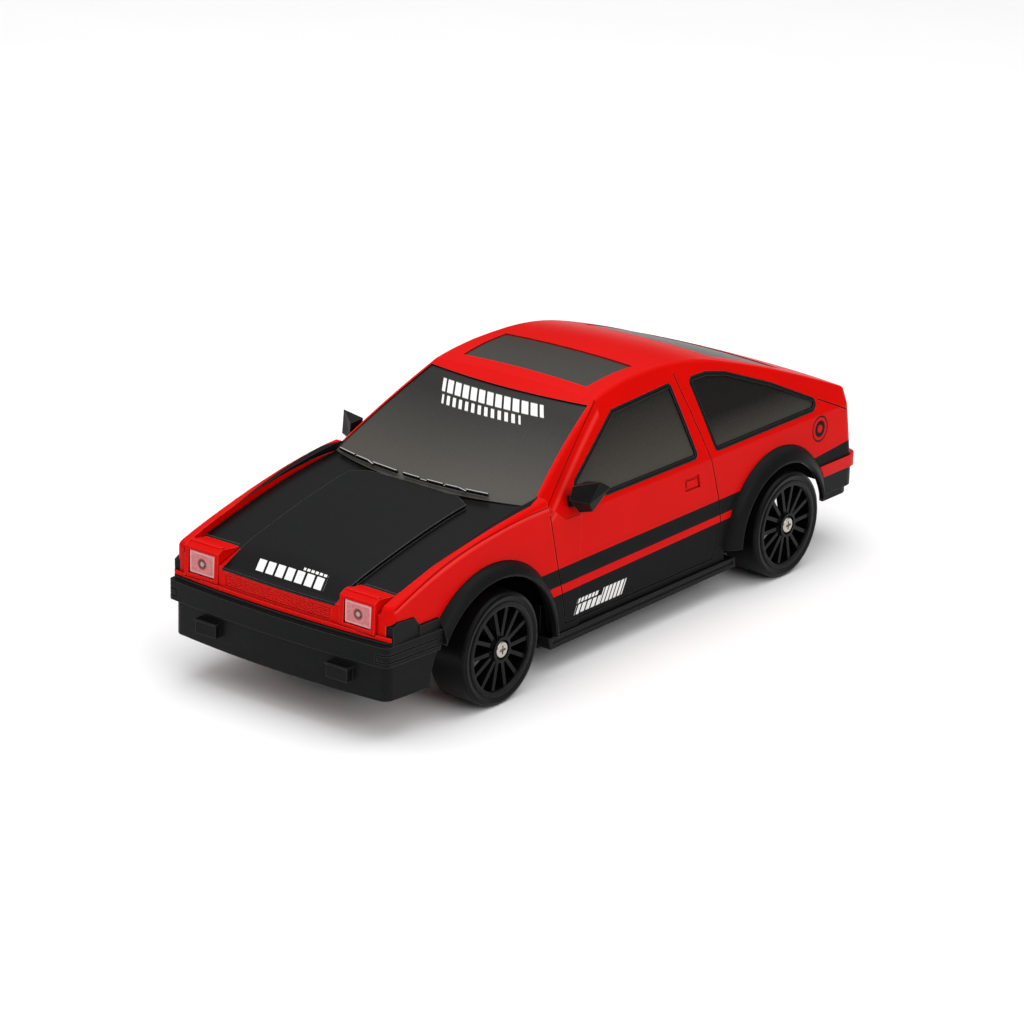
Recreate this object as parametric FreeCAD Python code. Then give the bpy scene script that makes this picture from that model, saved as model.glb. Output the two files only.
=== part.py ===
import FreeCAD, Part
import math
import os

# Toy drift car, 1:24, in millimetres.
# +X points to the front bumper, +Y to the car's left, +Z up.
# The origin is on the ground, midway between the two bumpers.

# ---- driving dimensions -------------------------------------------------
WHEELBASE = 100.0
FRONT_AXLE_X = 49.3
REAR_AXLE_X = FRONT_AXLE_X - WHEELBASE
AXLE_Z = 12.0
TYRE_R = 12.0
TYRE_OUTER_Y = 32.1
TYRE_WIDTH = 9.6
RIM_R = 10.0
KINGPIN_Y = 19.2
SKIN = 1.2
GAP = 0.12

# Body shell: half widths and heights
SILL_Z = 8.2
SIDE_Y = 28.5
SIDE_BULGE = 0.3
SHOULDER_Z = 32.8
ROOF_EDGE_Y = 20.4
ROOF_EDGE_Z = 54.4
TUMBLE_BULGE = 0.3
NOSE_X = 81.4
NOSE_BOW = 1.3
NOSE_EDGE_R = 1.3
NOSE_LIP = 0.65
NOSE_CORNER_R = 1.9
BONNET_DROP = 1.35
BONNET_HALF_Y = 26.3
BULGE_HALF_Y = 15.7
BULGE_RISE = 0.75
BONNET_SKIN = 0.55
LAMP_X0 = 74.6
LAMP_Y0 = 16.2
LAMP_Y1 = 25.2
LAMP_FACE_X = 80.9
LAMP_TOP_Z = 29.6
LEDGE_Z = 21.6
FRONT_BUMPER_BACK = 65.9
REAR_BUMPER_BACK = 66.0
TAIL_SEAT_Z = 19.3
FOG_BLOCK_Y = 17.5
FOG_BLOCK_HALF = 2.75

# Height of the fender top along X, and of the roof's side edge along X
FENDER_LINE = [(18.0, 38.9), (34.0, 38.4), (44.2, 37.2), (50.4, 36.1), (56.6, 34.8),
               (62.7, 33.35), (68.7, 31.8), (74.7, 30.1), (81.2, 27.9), (88.0, 25.3)]
ROOF_LINE = [(-92.0, 30.9), (-82.0, 35.1), (-76.4, 37.4), (-70.7, 39.6), (-63.7, 42.2),
             (-50.7, 46.7), (-37.7, 50.6), (-30.7, 52.35), (-24.2, 53.5), (-18.0, 54.1),
             (-12.0, 54.25), (-5.0, 54.1), (1.0, 53.5), (5.0, 52.8), (9.0, 51.8), (16.0, 49.6),
             (28.0, 46.6), (45.0, 43.0)]
ROOF_CROWN = 0.75

# Windscreen edges: centre point and how far the corners fall back
SCREEN_BOTTOM = (38.6, 37.6)
SCREEN_TOP = (9.7, 51.95)
SCREEN_BOTTOM_BOW = 5.0
SCREEN_TOP_BOW = 0.8
SCREEN_BOTTOM_Y = 26.5
SCREEN_TOP_Y = 21.1

# Tail panel: lip and base
TAIL_LIP_X = -79.9
TAIL_LIP_Z = 37.6
TAIL_BASE_X = -82.3
TAIL_BASE_Z = 20.0
TAIL_BOW = 2.0

# Wheel arches: centre height, lip radius, outer radius
FRONT_ARCH = (7.6, 19.2, 22.0)
REAR_ARCH = (10.3, 15.5, 19.0)
FLARE_BASE_Y = 27.2
FLARE_LIP_Y = 31.3

# Side windows, as seen from the side: (x, z) corners
DOOR_WINDOW = [(21.6, 37.9), (2.9, 49.4), (-18.0, 50.3), (-21.6, 34.0), (10.4, 34.0)]
QUARTER_WINDOW = [(-24.2, 50.0), (-30.5, 49.9), (-37.2, 48.5), (-51.8, 43.0), (-67.0, 36.0),
                  (-64.4, 34.1), (-27.9, 33.9)]
SURROUND = 0.75
REAR_WINDOW = (-38.5, -61.5, 17.5, 20.5)
SUNROOF = (3.6, -11.4, 16.5, 17.0)

# Wipers: bars as spans of Y, and where the arm starts and ends; height up the glass
WIPER_RIGHT = ([(-24.4, -18.9), (-18.3, -14.4), (-12.8, -5.5)], (-14.4, -12.4))
WIPER_LEFT = ([(-3.7, 0.8), (2.8, 6.8), (7.4, 10.6), (12.2, 17.2)], (10.6, 12.5))
WIPER_S = 0.014

# Headlight lens opening
LENS_Y0 = 17.2
LENS_Y1 = 24.3
LENS_Z0 = 23.2
LENS_Z1 = 28.2

# Door and hatch shut lines: side view (x, z), and plan (x, y) for the hatch
DOOR_FRONT = [(30.9, 36.5), (27.2, 22.0), (25.7, 16.6), (24.3, 9.6)]
DOOR_REAR = [(-19.9, 51.8), (-28.7, 22.9), (-29.8, 17.2), (-27.3, 9.6)]
DOOR_SILL = [(24.3, 9.6), (-27.3, 9.6)]
HATCH_SIDE = [(-67.1, 36.1), (-76.8, 31.8)]
HATCH_PLAN = [(-36.7, 20.4), (-50.0, 22.0), (-60.0, 23.4), (-67.6, 24.6)]
HATCH_X = -36.7
SEAM = 0.3
SEAM_DEPTH = 0.38

# Chassis, cells, posts and switch
FLOOR_Z0 = 4.6
FLOOR_Z1 = 5.6
TUB_Y = 25.5
TUB_WALL = 1.2
CELL_R = 5.1
CELL_X0 = -20.4
CELL_X1 = 24.1
CELL_Z = 11.0
CELL_Y = (7.2, 17.9)
BAY_X0 = -21.2
BAY_X1 = 25.0
POSTS = [(64.0, 11.0), (-69.0, 11.0)]
SWITCH_X = 32.0
SWITCH_Y = 9.0

# Gears and motor
SHAFT_R = 1.0
BORE = 0.06
DRIVE_MODULE = 0.5
DRIVE_PINION_TEETH = 10
CROWN_TEETH = 20
SPUR_TEETH = 22
MOTOR_PINION_TEETH = 12
CROWN_R = DRIVE_MODULE * CROWN_TEETH / 2
MOTOR_Y = DRIVE_MODULE * (SPUR_TEETH + MOTOR_PINION_TEETH) / 2
MOTOR_X0 = -40.0
MOTOR_X1 = -23.6
REAR_MESH_X = REAR_AXLE_X + CROWN_R
FRONT_MESH_X = FRONT_AXLE_X - CROWN_R
PINION_HALF = 0.8

# Axle ends, hubs and steering
SERVO_X = 32.3
SERVO_Y = -12.0
ARM = 8.5
TIE_ROD_X = FRONT_AXLE_X - ARM
AXLE_END = 29.0
SCREW_END = 26.9
HEX_Y0 = 25.2
HEX_Y1 = 26.8
HEX_R = 2.3
HUB_FACE_Y = 32.15
CUP_END = 21.7
BALL_R = 1.6
STEER_DEG = 22.0

# ---- small helpers ------------------------------------------------------
NODES = {}


def vec(x, y, z):
    return FreeCAD.Vector(x, y, z)


def save(name, *solids):
    """Keep one node: a single solid or a group of separate solids."""
    flat = []
    for solid in solids:
        flat.extend(solid.Solids)
    NODES[name] = flat[0] if len(flat) == 1 else Part.makeCompound(flat)


def box(x0, x1, y0, y1, z0, z1):
    return Part.makeBox(x1 - x0, y1 - y0, z1 - z0, vec(x0, y0, z0))


def tube(start, direction, radius, length, bore=0.0):
    outer = Part.makeCylinder(radius, length, start, direction)
    if bore <= 0.0:
        return outer
    return outer.cut(Part.makeCylinder(bore, length, start, direction))


def along_y(x, y0, y1, z, radius, bore=0.0):
    return tube(vec(x, y0, z), vec(0, 1, 0), radius, y1 - y0, bore)


def along_x(x0, x1, y, z, radius, bore=0.0):
    return tube(vec(x0, y, z), vec(1, 0, 0), radius, x1 - x0, bore)


def along_z(x, y, z0, z1, radius, bore=0.0):
    return tube(vec(x, y, z0), vec(0, 0, 1), radius, z1 - z0, bore)


def polygon(points):
    return Part.Face(Part.makePolygon(points + [points[0]]))


def side_plate(points, y0, y1):
    """Extrude an (x, z) outline from y0 to y1."""
    face = polygon([vec(x, y0, z) for x, z in points])
    return face.extrude(vec(0, y1 - y0, 0))


def plan_plate(points, z0, z1):
    """Extrude an (x, y) outline from z0 to z1."""
    face = polygon([vec(x, y, z0) for x, y in points])
    return face.extrude(vec(0, 0, z1 - z0))


def mirror_y(shape):
    return shape.mirror(vec(0, 0, 0), vec(0, 1, 0))


def both_sides(shape):
    return [shape, mirror_y(shape)]


def fuse(first, *others):
    return first.multiFuse(list(others)).removeSplitter()


def cut(shape, *tools):
    for tool in tools:
        shape = shape.cut(tool)
    return shape


def largest(shape):
    return max(shape.Solids, key=lambda solid: solid.Volume)


def spline_edge(points):
    curve = Part.BSplineCurve()
    curve.interpolate([vec(*p) for p in points])
    return curve.toShape()


def arc_edge(a, b, c):
    return Part.Arc(vec(*a), vec(*b), vec(*c)).toShape()


def line_edge(a, b):
    return Part.makeLine(vec(*a), vec(*b))


def lerp(table, x):
    """Smooth height from a table of (x, z): piecewise cubic (Catmull-Rom)."""
    last = len(table) - 2
    i = 0
    while i < last and x > table[i + 1][0]:
        i += 1
    x0, z0 = table[i]
    x1, z1 = table[i + 1]
    before = table[max(i - 1, 0)]
    after = table[min(i + 2, last + 1)]
    slope0 = (z1 - before[1]) / (x1 - before[0])
    slope1 = (after[1] - z0) / (after[0] - x0)
    span = x1 - x0
    t = (x - x0) / span
    h00 = 2 * t ** 3 - 3 * t ** 2 + 1
    h10 = t ** 3 - 2 * t ** 2 + t
    h01 = -2 * t ** 3 + 3 * t ** 2
    h11 = t ** 3 - t ** 2
    return h00 * z0 + h10 * span * slope0 + h01 * z1 + h11 * span * slope1


def surface(point_at, us, vs):
    """Spline surface through point_at(u, v) on the grid us by vs."""
    skin = Part.BSplineSurface()
    skin.interpolate([[vec(*point_at(u, v)) for v in vs] for u in us])
    return skin.toShape()


def steps(start, stop, count):
    return [start + (stop - start) * i / (count - 1) for i in range(count)]


# ---- body shell: outer form, also used inset for the hollow -------------
def side_section(inset):
    """Cross-section of the body: bulged sides that lean in above the shoulder."""
    s = SIDE_Y - inset
    mid_z = (SILL_Z + SHOULDER_Z) / 2
    slope_y = (SIDE_Y - ROOF_EDGE_Y) / (ROOF_EDGE_Z - SHOULDER_Z)
    top_z = 62.0
    top_y = s - slope_y * (top_z - SHOULDER_Z)
    mid_lean = (s - slope_y * (ROOF_EDGE_Z - SHOULDER_Z) / 2 + TUMBLE_BULGE,
                (SHOULDER_Z + ROOF_EDGE_Z) / 2)
    edges = [line_edge((0, s, -5), (0, s, SILL_Z)),
             arc_edge((0, s, SILL_Z), (0, s + SIDE_BULGE, mid_z), (0, s, SHOULDER_Z)),
             arc_edge((0, s, SHOULDER_Z), (0, mid_lean[0], mid_lean[1]), (0, top_y, top_z)),
             line_edge((0, top_y, top_z), (0, -top_y, top_z)),
             arc_edge((0, -top_y, top_z), (0, -mid_lean[0], mid_lean[1]), (0, -s, SHOULDER_Z)),
             arc_edge((0, -s, SHOULDER_Z), (0, -s - SIDE_BULGE, mid_z), (0, -s, SILL_Z)),
             line_edge((0, -s, SILL_Z), (0, -s, -5)),
             line_edge((0, -s, -5), (0, s, -5))]
    return Part.Face(Part.Wire(edges))


def side_prism(inset, x0, x1):
    face = side_section(inset)
    face.translate(vec(x0, 0, 0))
    return face.extrude(vec(x1 - x0, 0, 0))


def roof_height(x, y, drop=0.0):
    return lerp(ROOF_LINE, x) + ROOF_CROWN * (1 - (y / 21.0) ** 2) - drop


def under_roof(drop):
    top = surface(lambda x, y: (x, y, roof_height(x, y, drop)),
                  steps(-91.0, 44.0, 46), steps(-33.0, 33.0, 7))
    return top.extrude(vec(0, 0, -70))


def fender_height(x, drop=0.0):
    return lerp(FENDER_LINE, x) - drop


def under_fender(drop):
    top = surface(lambda x, y: (x, y, fender_height(x, drop)),
                  steps(19.0, 87.0, 18), steps(-33.0, 33.0, 3))
    return top.extrude(vec(0, 0, -60))


def screen_point(s, y, push=0.0):
    """Windscreen surface: s runs from 0 at the cowl to 1 at the roof."""
    bottom_x = SCREEN_BOTTOM[0] - SCREEN_BOTTOM_BOW * (y / SCREEN_BOTTOM_Y) ** 2
    bottom_z = SCREEN_BOTTOM[1] - 0.4 * (y / SCREEN_BOTTOM_Y) ** 2
    top_x = SCREEN_TOP[0] - SCREEN_TOP_BOW * (y / SCREEN_TOP_Y) ** 2
    top_z = SCREEN_TOP[1] - 0.5 * (y / SCREEN_TOP_Y) ** 2
    swell = 1.6 * s * (1 - s) + push
    x = bottom_x + (top_x - bottom_x) * s + 0.45 * swell
    z = bottom_z + (top_z - bottom_z) * s + 0.89 * swell
    return (x, y, z)


def before_screen(push):
    face = surface(lambda s, y: screen_point(s, y, push),
                   steps(-0.7, 1.6, 9), steps(-33.0, 33.0, 7))
    return face.extrude(vec(80, 0, 40))


def tail_point(y, z, inset=0.0):
    t = (TAIL_LIP_Z - z) / (TAIL_LIP_Z - TAIL_BASE_Z)
    x = TAIL_LIP_X + (TAIL_BASE_X - TAIL_LIP_X) * t
    return (x + TAIL_BOW * (y / 28.0) ** 2 + inset, y, z)


def ahead_of_tail(inset):
    face = surface(lambda y, z: tail_point(y, z, inset),
                   steps(-34.0, 34.0, 7), steps(-8.0, 60.0, 4))
    return face.extrude(vec(150, 0, 0))


def nose_outline(inset):
    """Plan of the nose: bowed front and round corners."""
    half = SIDE_Y + SIDE_BULGE - inset
    r = NOSE_CORNER_R
    front = NOSE_X - inset
    corner = front - NOSE_BOW
    k = 1 - math.sqrt(0.5)
    edges = [line_edge((20, -half, 0), (corner - r, -half, 0)),
             arc_edge((corner - r, -half, 0), (corner - r * k, -half + r * k, 0), (corner, -half + r, 0)),
             arc_edge((corner, -half + r, 0), (front, 0, 0), (corner, half - r, 0)),
             arc_edge((corner, half - r, 0), (corner - r * k, half - r * k, 0), (corner - r, half, 0)),
             line_edge((corner - r, half, 0), (20, half, 0)),
             line_edge((20, half, 0), (20, -half, 0))]
    face = Part.Face(Part.Wire(edges))
    return face.extrude(vec(0, 0, 60))


def edges_where(shape, test):
    found = []
    for edge in shape.Edges:
        middle = edge.valueAt((edge.FirstParameter + edge.LastParameter) / 2)
        if test(edge, middle):
            found.append(edge)
    return found


def cabin_form(inset):
    solid = side_prism(inset, -90.0, SCREEN_BOTTOM[0] - inset)
    solid = solid.common(under_roof(inset))
    solid = solid.common(ahead_of_tail(inset))
    return solid.cut(before_screen(-inset))


def bonnet_height(x, drop=0.0):
    return fender_height(x) - BONNET_DROP - drop


def under_bonnet(drop):
    top = surface(lambda x, y: (x, y, bonnet_height(x, drop) - 0.25 * (y / BONNET_HALF_Y) ** 2),
                  steps(19.0, 87.0, 18), steps(-33.0, 33.0, 5))
    return top.extrude(vec(0, 0, -60))


def bonnet_outline(gap, rear=0.0):
    """Plan of the bonnet: two shoulders beside the lamps and a longer middle."""
    side = BONNET_HALF_Y + gap
    mid = LAMP_Y0 - 1.2 + gap
    shoulder = LAMP_X0 + gap
    corner = NOSE_X - NOSE_BOW * (mid / 28.0) ** 2 - 0.1 + gap
    front = NOSE_X - 0.1 + gap
    back = SCREEN_BOTTOM[0] - gap - rear
    back_side = back - SCREEN_BOTTOM_BOW * (side / SCREEN_BOTTOM_Y) ** 2
    edges = [line_edge((back_side, side, 0), (shoulder, side, 0)),
             line_edge((shoulder, side, 0), (shoulder, mid, 0)),
             line_edge((shoulder, mid, 0), (corner, mid, 0)),
             arc_edge((corner, mid, 0), (front, 0, 0), (corner, -mid, 0)),
             line_edge((corner, -mid, 0), (shoulder, -mid, 0)),
             line_edge((shoulder, -mid, 0), (shoulder, -side, 0)),
             line_edge((shoulder, -side, 0), (back_side, -side, 0)),
             arc_edge((back_side, -side, 0), (back, 0, 0), (back_side, side, 0))]
    face = Part.Face(Part.Wire(edges))
    return face.extrude(vec(0, 0, 60))


def bonnet_top(x, y):
    """Top of the raised middle: it fades out towards the nose."""
    fade = min(1.0, max(0.0, (NOSE_X - x) / 7.0))
    crown = 0.3 * (1 - (y / BULGE_HALF_Y) ** 2)
    return bonnet_height(x) + (BULGE_RISE + crown) * fade - 0.25 * (1 - fade)


def under_bulge():
    top = surface(lambda x, y: (x, y, bonnet_top(x, y)), steps(30.0, 86.0, 22), steps(-20.0, 20.0, 7))
    return top.extrude(vec(0, 0, -8))


def bulge_outline():
    """Plan of the raised middle of the bonnet."""
    front = NOSE_X + 1.0
    points = [(41.6, -BULGE_HALF_Y), (front, -BULGE_HALF_Y + 0.7),
              (front, BULGE_HALF_Y - 0.7), (41.6, BULGE_HALF_Y), (39.6, 12.0), (39.6, -12.0)]
    return plan_plate(points, 0, 60)


def round_edges(shape, radius, test):
    return shape.makeFillet(radius, edges_where(shape, test))


def rounded_cabin(inset):
    """Cabin with soft roof rails, pillars and tail corners."""
    solid = cabin_form(inset)
    solid = round_edges(solid, 2.4, lambda e, p: p.x < -75 + inset and abs(p.y) > 24 and e.Length < 30)
    return round_edges(solid, 0.9, lambda e, p: p.z > 38 and (abs(p.y) > 19 or 0 < p.x < 16))


def rounded_nose(inset):
    """Fenders and nose, with a sunken bonnet and a ramp down to the doors."""
    solid = nose_outline(inset).common(under_fender(inset))
    solid = round_edges(solid, NOSE_EDGE_R,
                        lambda e, p: p.z > 25 and (p.x > 75 or abs(p.y) > 27) and e.Length > 3)
    half = BONNET_HALF_Y + 3 * inset
    pocket = box(10, NOSE_X + 5, -half, half, 20, 60)
    solid = solid.cut(pocket.cut(under_bonnet(inset)))
    ramp = side_plate([(31.6 - inset, 37.2), (25.2 - inset, 32.5 - inset), (15, 32.5 - inset),
                       (15, 45), (31.6 - inset, 45)], -40, 40)
    return solid.cut(ramp)


def make_forms():
    outer = fuse(rounded_cabin(0.0), rounded_nose(0.0))
    inner = fuse(rounded_cabin(SKIN), rounded_nose(SKIN))
    return outer, inner


# ---- outlines of the openings -------------------------------------------
def rounded_outline(points, radius, grow=0.0):
    """Wire in the XZ plane with rounded convex corners, offset by grow."""
    wire = Part.makePolygon([vec(x, 0, z) for x, z in points] + [vec(points[0][0], 0, points[0][1])])
    shrunk = wire.makeOffset2D(-radius, 0)
    return shrunk.makeOffset2D(radius + grow, 0)


def window_prism(points, radius, grow, y0=12.0, y1=36.0):
    wire = rounded_outline(points, radius, grow)
    wire.translate(vec(0, y0, 0))
    return Part.Face(wire).extrude(vec(0, y1 - y0, 0))


def side_band(proud, depth, x0, x1):
    """Slice of the left side wall: from proud outside the skin to depth inside."""
    return side_prism(-proud, x0, x1).cut(side_prism(depth, x0 - 1, x1 + 1))


def screen_prism(grow):
    """Front view of the windscreen opening, run along X."""
    points = [(-26.45 - grow, 36.9 - grow), (-20.9 - grow, 51.35 + grow), (20.9 + grow, 51.35 + grow),
              (26.45 + grow, 36.9 - grow)]
    face = polygon([vec(6.0, y, z) for y, z in points])
    return face.extrude(vec(36, 0, 0))


def roof_plate(outline, drop, depth):
    """Plate that follows the roof surface, from drop to depth below it."""
    x0, x1, y0, y1 = outline
    plan = plan_plate([(x0, -y0), (x1, -y1), (x1, y1), (x0, y0)], 20, 60)
    return plan.common(under_roof(drop)).cut(under_roof(depth))


def grown(outline, gap):
    x0, x1, y0, y1 = outline
    return (x0 + gap, x1 - gap, y0 + gap, y1 + gap)


# ---- bumpers, arches and skirts -----------------------------------------
def bumper_plan(front, bow, half_front, half_back, back, radius, z0, z1):
    """Plan outline with a bowed front, round corners and slightly flared sides."""
    corner = front - bow
    k = 1 - math.sqrt(0.5)
    y = half_front
    edges = [line_edge((back, -half_back, z0), (corner - radius, -y, z0)),
             arc_edge((corner - radius, -y, z0), (corner - radius * k, -y + radius * k, z0),
                      (corner, -y + radius, z0)),
             arc_edge((corner, -y + radius, z0), (front, 0, z0), (corner, y - radius, z0)),
             arc_edge((corner, y - radius, z0), (corner - radius * k, y - radius * k, z0),
                      (corner - radius, y, z0)),
             line_edge((corner - radius, y, z0), (back, half_back, z0)),
             line_edge((back, half_back, z0), (back, -half_back, z0))]
    return Part.Face(Part.Wire(edges)).extrude(vec(0, 0, z1 - z0))


def front_bumper_form(grow):
    lower = bumper_plan(82.4 + grow, 1.5, 28.5 + grow, 30.0 + grow, 60, 2.2, 9.0, 16.9)
    upper = bumper_plan(83.3 + grow, 1.4, 29.2 + grow, 30.5 + grow, 60, 1.3, 16.6, 20.8)
    ledge = bumper_plan(82.5 + grow, 1.4, 28.8 + grow, 29.7 + grow, 60, 1.3, 20.6, LEDGE_Z + grow)
    return fuse(lower, upper, ledge)


def cheek_form(grow):
    """Raised black cheeks at the bumper's sides, stepped down towards the wheel."""
    side = side_plate([(60, 20), (60, 22.9 + grow), (71.6, 22.9 + grow), (73.4, 25.0 + grow),
                       (78.4 + grow, 25.4 + grow), (79.9 + grow, 24.6 + grow), (79.9 + grow, 20)],
                      27.3 - grow, 29.1 + grow)
    return fuse(side, box(60, 72, 27.3 - grow, 29.4 + grow, 20, 22.9 + grow))


def front_bumper(arch_void):
    solid = front_bumper_form(0.0)
    cheeks = both_sides(cheek_form(0.0))
    hollow = bumper_plan(80.9, 1.4, 27.1, 28.2, 50, 3.0, 5.0, 20.9)
    nose_seat = bumper_plan(NOSE_X + GAP, 1.4, 26.9, 26.9, 50, 3.0, 20.8, 40)
    solid = fuse(solid, *cheeks)
    lamps = both_sides(lamp_box(GAP))
    solid = cut(solid, hollow, nose_seat, *(arch_void + lamps))
    solid = solid.cut(box(0, FRONT_BUMPER_BACK, -40, 40, 0, 40))
    solid = fuse(solid, *fog_blocks())
    skin = front_bumper_form(2.0).cut(front_bumper_form(-0.25))
    slots = [box(60, 90, 26.4, 40, low, low + 0.3) for low in (17.5, 19.0)]
    slots.append(box(78, 90, 26.4, 26.7, 17.5, 19.3))
    for slot in slots:
        solid = cut(solid, *both_sides(skin.common(slot)))
    return solid


def fog_blocks():
    """Flat blocks with a thin brim on the bumper's lower front."""
    blocks = []
    for side in (-1, 1):
        y0 = side * FOG_BLOCK_Y - FOG_BLOCK_HALF
        y1 = side * FOG_BLOCK_Y + FOG_BLOCK_HALF
        blocks.append(box(80.6, 83.3, y0, y1, 11.8, 14.7))
        blocks.append(box(80.6, 83.6, y0 - 0.15, y1 + 0.15, 14.5, 14.9))
    return blocks


def rear_bumper_form(grow):
    lower = bumper_plan(82.6 + grow, 1.6, 28.3 + grow, 28.3 + grow, 60, 4.0, 11.6 - grow, 13.6)
    middle = bumper_plan(83.6 + grow, 1.6, 28.9 + grow, 28.9 + grow, 60, 4.0, 13.4, 18.0)
    top = bumper_plan(84.2 + grow, 1.6, 29.3 + grow, 29.3 + grow, 60, 4.0, 17.9, 20.6 + grow)
    return fuse(lower, middle, top).mirror(vec(0, 0, 0), vec(1, 0, 0))


def tail_seat(grow):
    """Space on the rear bumper where the lower edge of the shell stands."""
    seat = bumper_plan(-TAIL_LIP_X + 2.35 + grow, 1.8, 28.9 - GAP + grow, 28.9 - GAP + grow, 50, 2.4,
                       TAIL_SEAT_Z, 40)
    return seat.mirror(vec(0, 0, 0), vec(1, 0, 0))


def rear_bumper(arch_void):
    solid = rear_bumper_form(0.0)
    hollow = bumper_plan(82.0, 1.6, 27.3, 27.3, 50, 3.0, 5.0, 19.4).mirror(vec(0, 0, 0), vec(1, 0, 0))
    solid = cut(solid, hollow, tail_seat(GAP), *arch_void)
    return solid.cut(box(-REAR_BUMPER_BACK, 0, -40, 40, 0, 40))


def arch_cylinder(axle_x, centre_z, radius, y0=-40.0, y1=40.0):
    return along_y(axle_x, y0, y1, centre_z, radius)


def arch_flare(axle_x, arch):
    """Left wheel arch: a thin moulding that swells out from the body to the lip."""
    centre_z, lip_r, outer_r = arch
    b = FLARE_BASE_Y
    e = FLARE_LIP_Y
    span = outer_r - lip_r
    outside = [(outer_r, b), (outer_r, 28.7), (outer_r - 0.12 * span, 29.5), (outer_r - 0.4 * span, 30.5),
               (outer_r - 0.7 * span, 31.05), (lip_r + 0.35, e), (lip_r, e - 0.15)]
    inside = [(lip_r, e - 1.3), (outer_r - 0.62 * span, e - 1.5),
              (outer_r - 1.15, 28.6), (outer_r - 1.15, b)]
    points = [vec(axle_x + r, y, centre_z) for r, y in outside + inside]
    edges = [line_edge(tuple(points[0]), tuple(points[1])),
             spline_edge([tuple(p) for p in points[1:7]]),
             line_edge(tuple(points[6]), tuple(points[7]))]
    edges += [line_edge(tuple(points[i]), tuple(points[i + 1])) for i in range(7, 10)]
    edges.append(line_edge(tuple(points[10]), tuple(points[0])))
    ring = Part.Face(Part.Wire(edges)).revolve(vec(axle_x, 0, centre_z), vec(0, 1, 0), 360)
    return ring.cut(box(axle_x - 40, axle_x + 40, 0, 40, -40, SILL_Z + 0.6))


def skirt():
    """Left sill between the wheels, with a step on its upper edge."""
    solid = side_plate([(-35.4, 5.8), (29.6, 5.4), (30.3, 8.0), (-35.0, 8.0)], 26.0, 29.2)
    step = side_plate([(-34.6, 6.6), (29.2, 6.3), (29.2, 7.3), (-34.6, 7.4)], 28.9, 30)
    return solid.cut(step)


# ---- outside pieces ------------------------------------------------------
def seam_quads(points, width):
    """Narrow four-cornered strips along a line, each slightly lengthened."""
    quads = []
    for (a0, b0), (a1, b1) in zip(points, points[1:]):
        length = math.hypot(a1 - a0, b1 - b0)
        ta = (a1 - a0) / length * width / 2
        tb = (b1 - b0) / length * width / 2
        quads.append([(a0 - ta - tb, b0 - tb + ta), (a1 + ta - tb, b1 + tb + ta),
                      (a1 + ta + tb, b1 + tb - ta), (a0 - ta + tb, b0 - tb - ta)])
    return quads


def side_seam(points):
    """Shut line in the left side of the shell."""
    x0 = min(p[0] for p in points) - 1
    x1 = max(p[0] for p in points) + 1
    strips = [side_plate(quad, 12, 36) for quad in seam_quads(points, SEAM)]
    return fuse(*strips).common(side_band(1.0, SEAM_DEPTH, x0, x1))


def roof_seams():
    cross = box(HATCH_X - SEAM / 2, HATCH_X + SEAM / 2, -20.5, 20.5, 40, 60)
    strips = [cross]
    for quad in seam_quads(HATCH_PLAN, SEAM):
        strip = plan_plate(quad, 30, 60)
        strips += both_sides(strip)
    return [strip.cut(under_roof(SEAM_DEPTH)) for strip in strips]


def handle_recess():
    """Left door handle: a sunk frame round a flap."""
    frame = side_plate([(-21.8, 27.5), (-16.3, 27.6), (-16.0, 30.7), (-21.3, 30.6)], 20, 36)
    flap = side_plate([(-20.9, 28.2), (-17.1, 28.3), (-17.0, 29.7), (-20.6, 29.6)], 20, 36)
    deep = frame.cut(flap).common(side_band(1.0, 0.5, -25, -12))
    shallow = flap.common(side_band(1.0, 0.15, -25, -12))
    return [deep, shallow]


def shell_cutters(arch_void):
    """Everything that is taken out of the plain skin."""
    tools = [box(-90, 90, -40, 40, -10, SILL_Z)]
    tools += arch_void
    tools.append(front_bumper_form(GAP).cut(box(-90, FRONT_BUMPER_BACK - GAP, -40, 40, 0, 60)))
    tools.append(box(60, 90, -40, 40, 0, 20.8))
    for cheek in both_sides(cheek_form(GAP)):
        tools.append(cheek.cut(box(-90, FRONT_BUMPER_BACK - GAP, -40, 40, 0, 60)))
    rear = rear_bumper_form(GAP).cut(box(-REAR_BUMPER_BACK + GAP, 90, -40, 40, 0, 60))
    tools.append(rear.cut(tail_seat(0.0)))
    tools.append(box(-90, -REAR_BUMPER_BACK + GAP, -40, 40, 0, TAIL_SEAT_Z + GAP))
    tools.append(bonnet_outline(GAP).cut(under_bonnet(BONNET_SKIN + 0.08)))
    for lamp in both_sides(lamp_box(GAP)):
        tools.append(lamp)
    for points in (DOOR_WINDOW, QUARTER_WINDOW):
        tools += both_sides(window_prism(points, 1.2, GAP))
    tools.append(screen_prism(GAP).common(before_screen(-SKIN - 0.6)))
    tools.append(roof_plate(grown(SUNROOF, GAP), -4.0, SKIN + 0.3))
    tools.append(roof_plate(grown(REAR_WINDOW, GAP), -4.0, SKIN + 0.3))
    return tools


def nose_lip():
    """Narrow shelf that runs across the nose just above the bumper."""
    rim = nose_outline(-NOSE_LIP).cut(nose_outline(0.3))
    rim = rim.common(box(80.1, 90, -28.9, 28.9, LEDGE_Z + GAP, LEDGE_Z + 0.9))
    return largest(rim)


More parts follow.
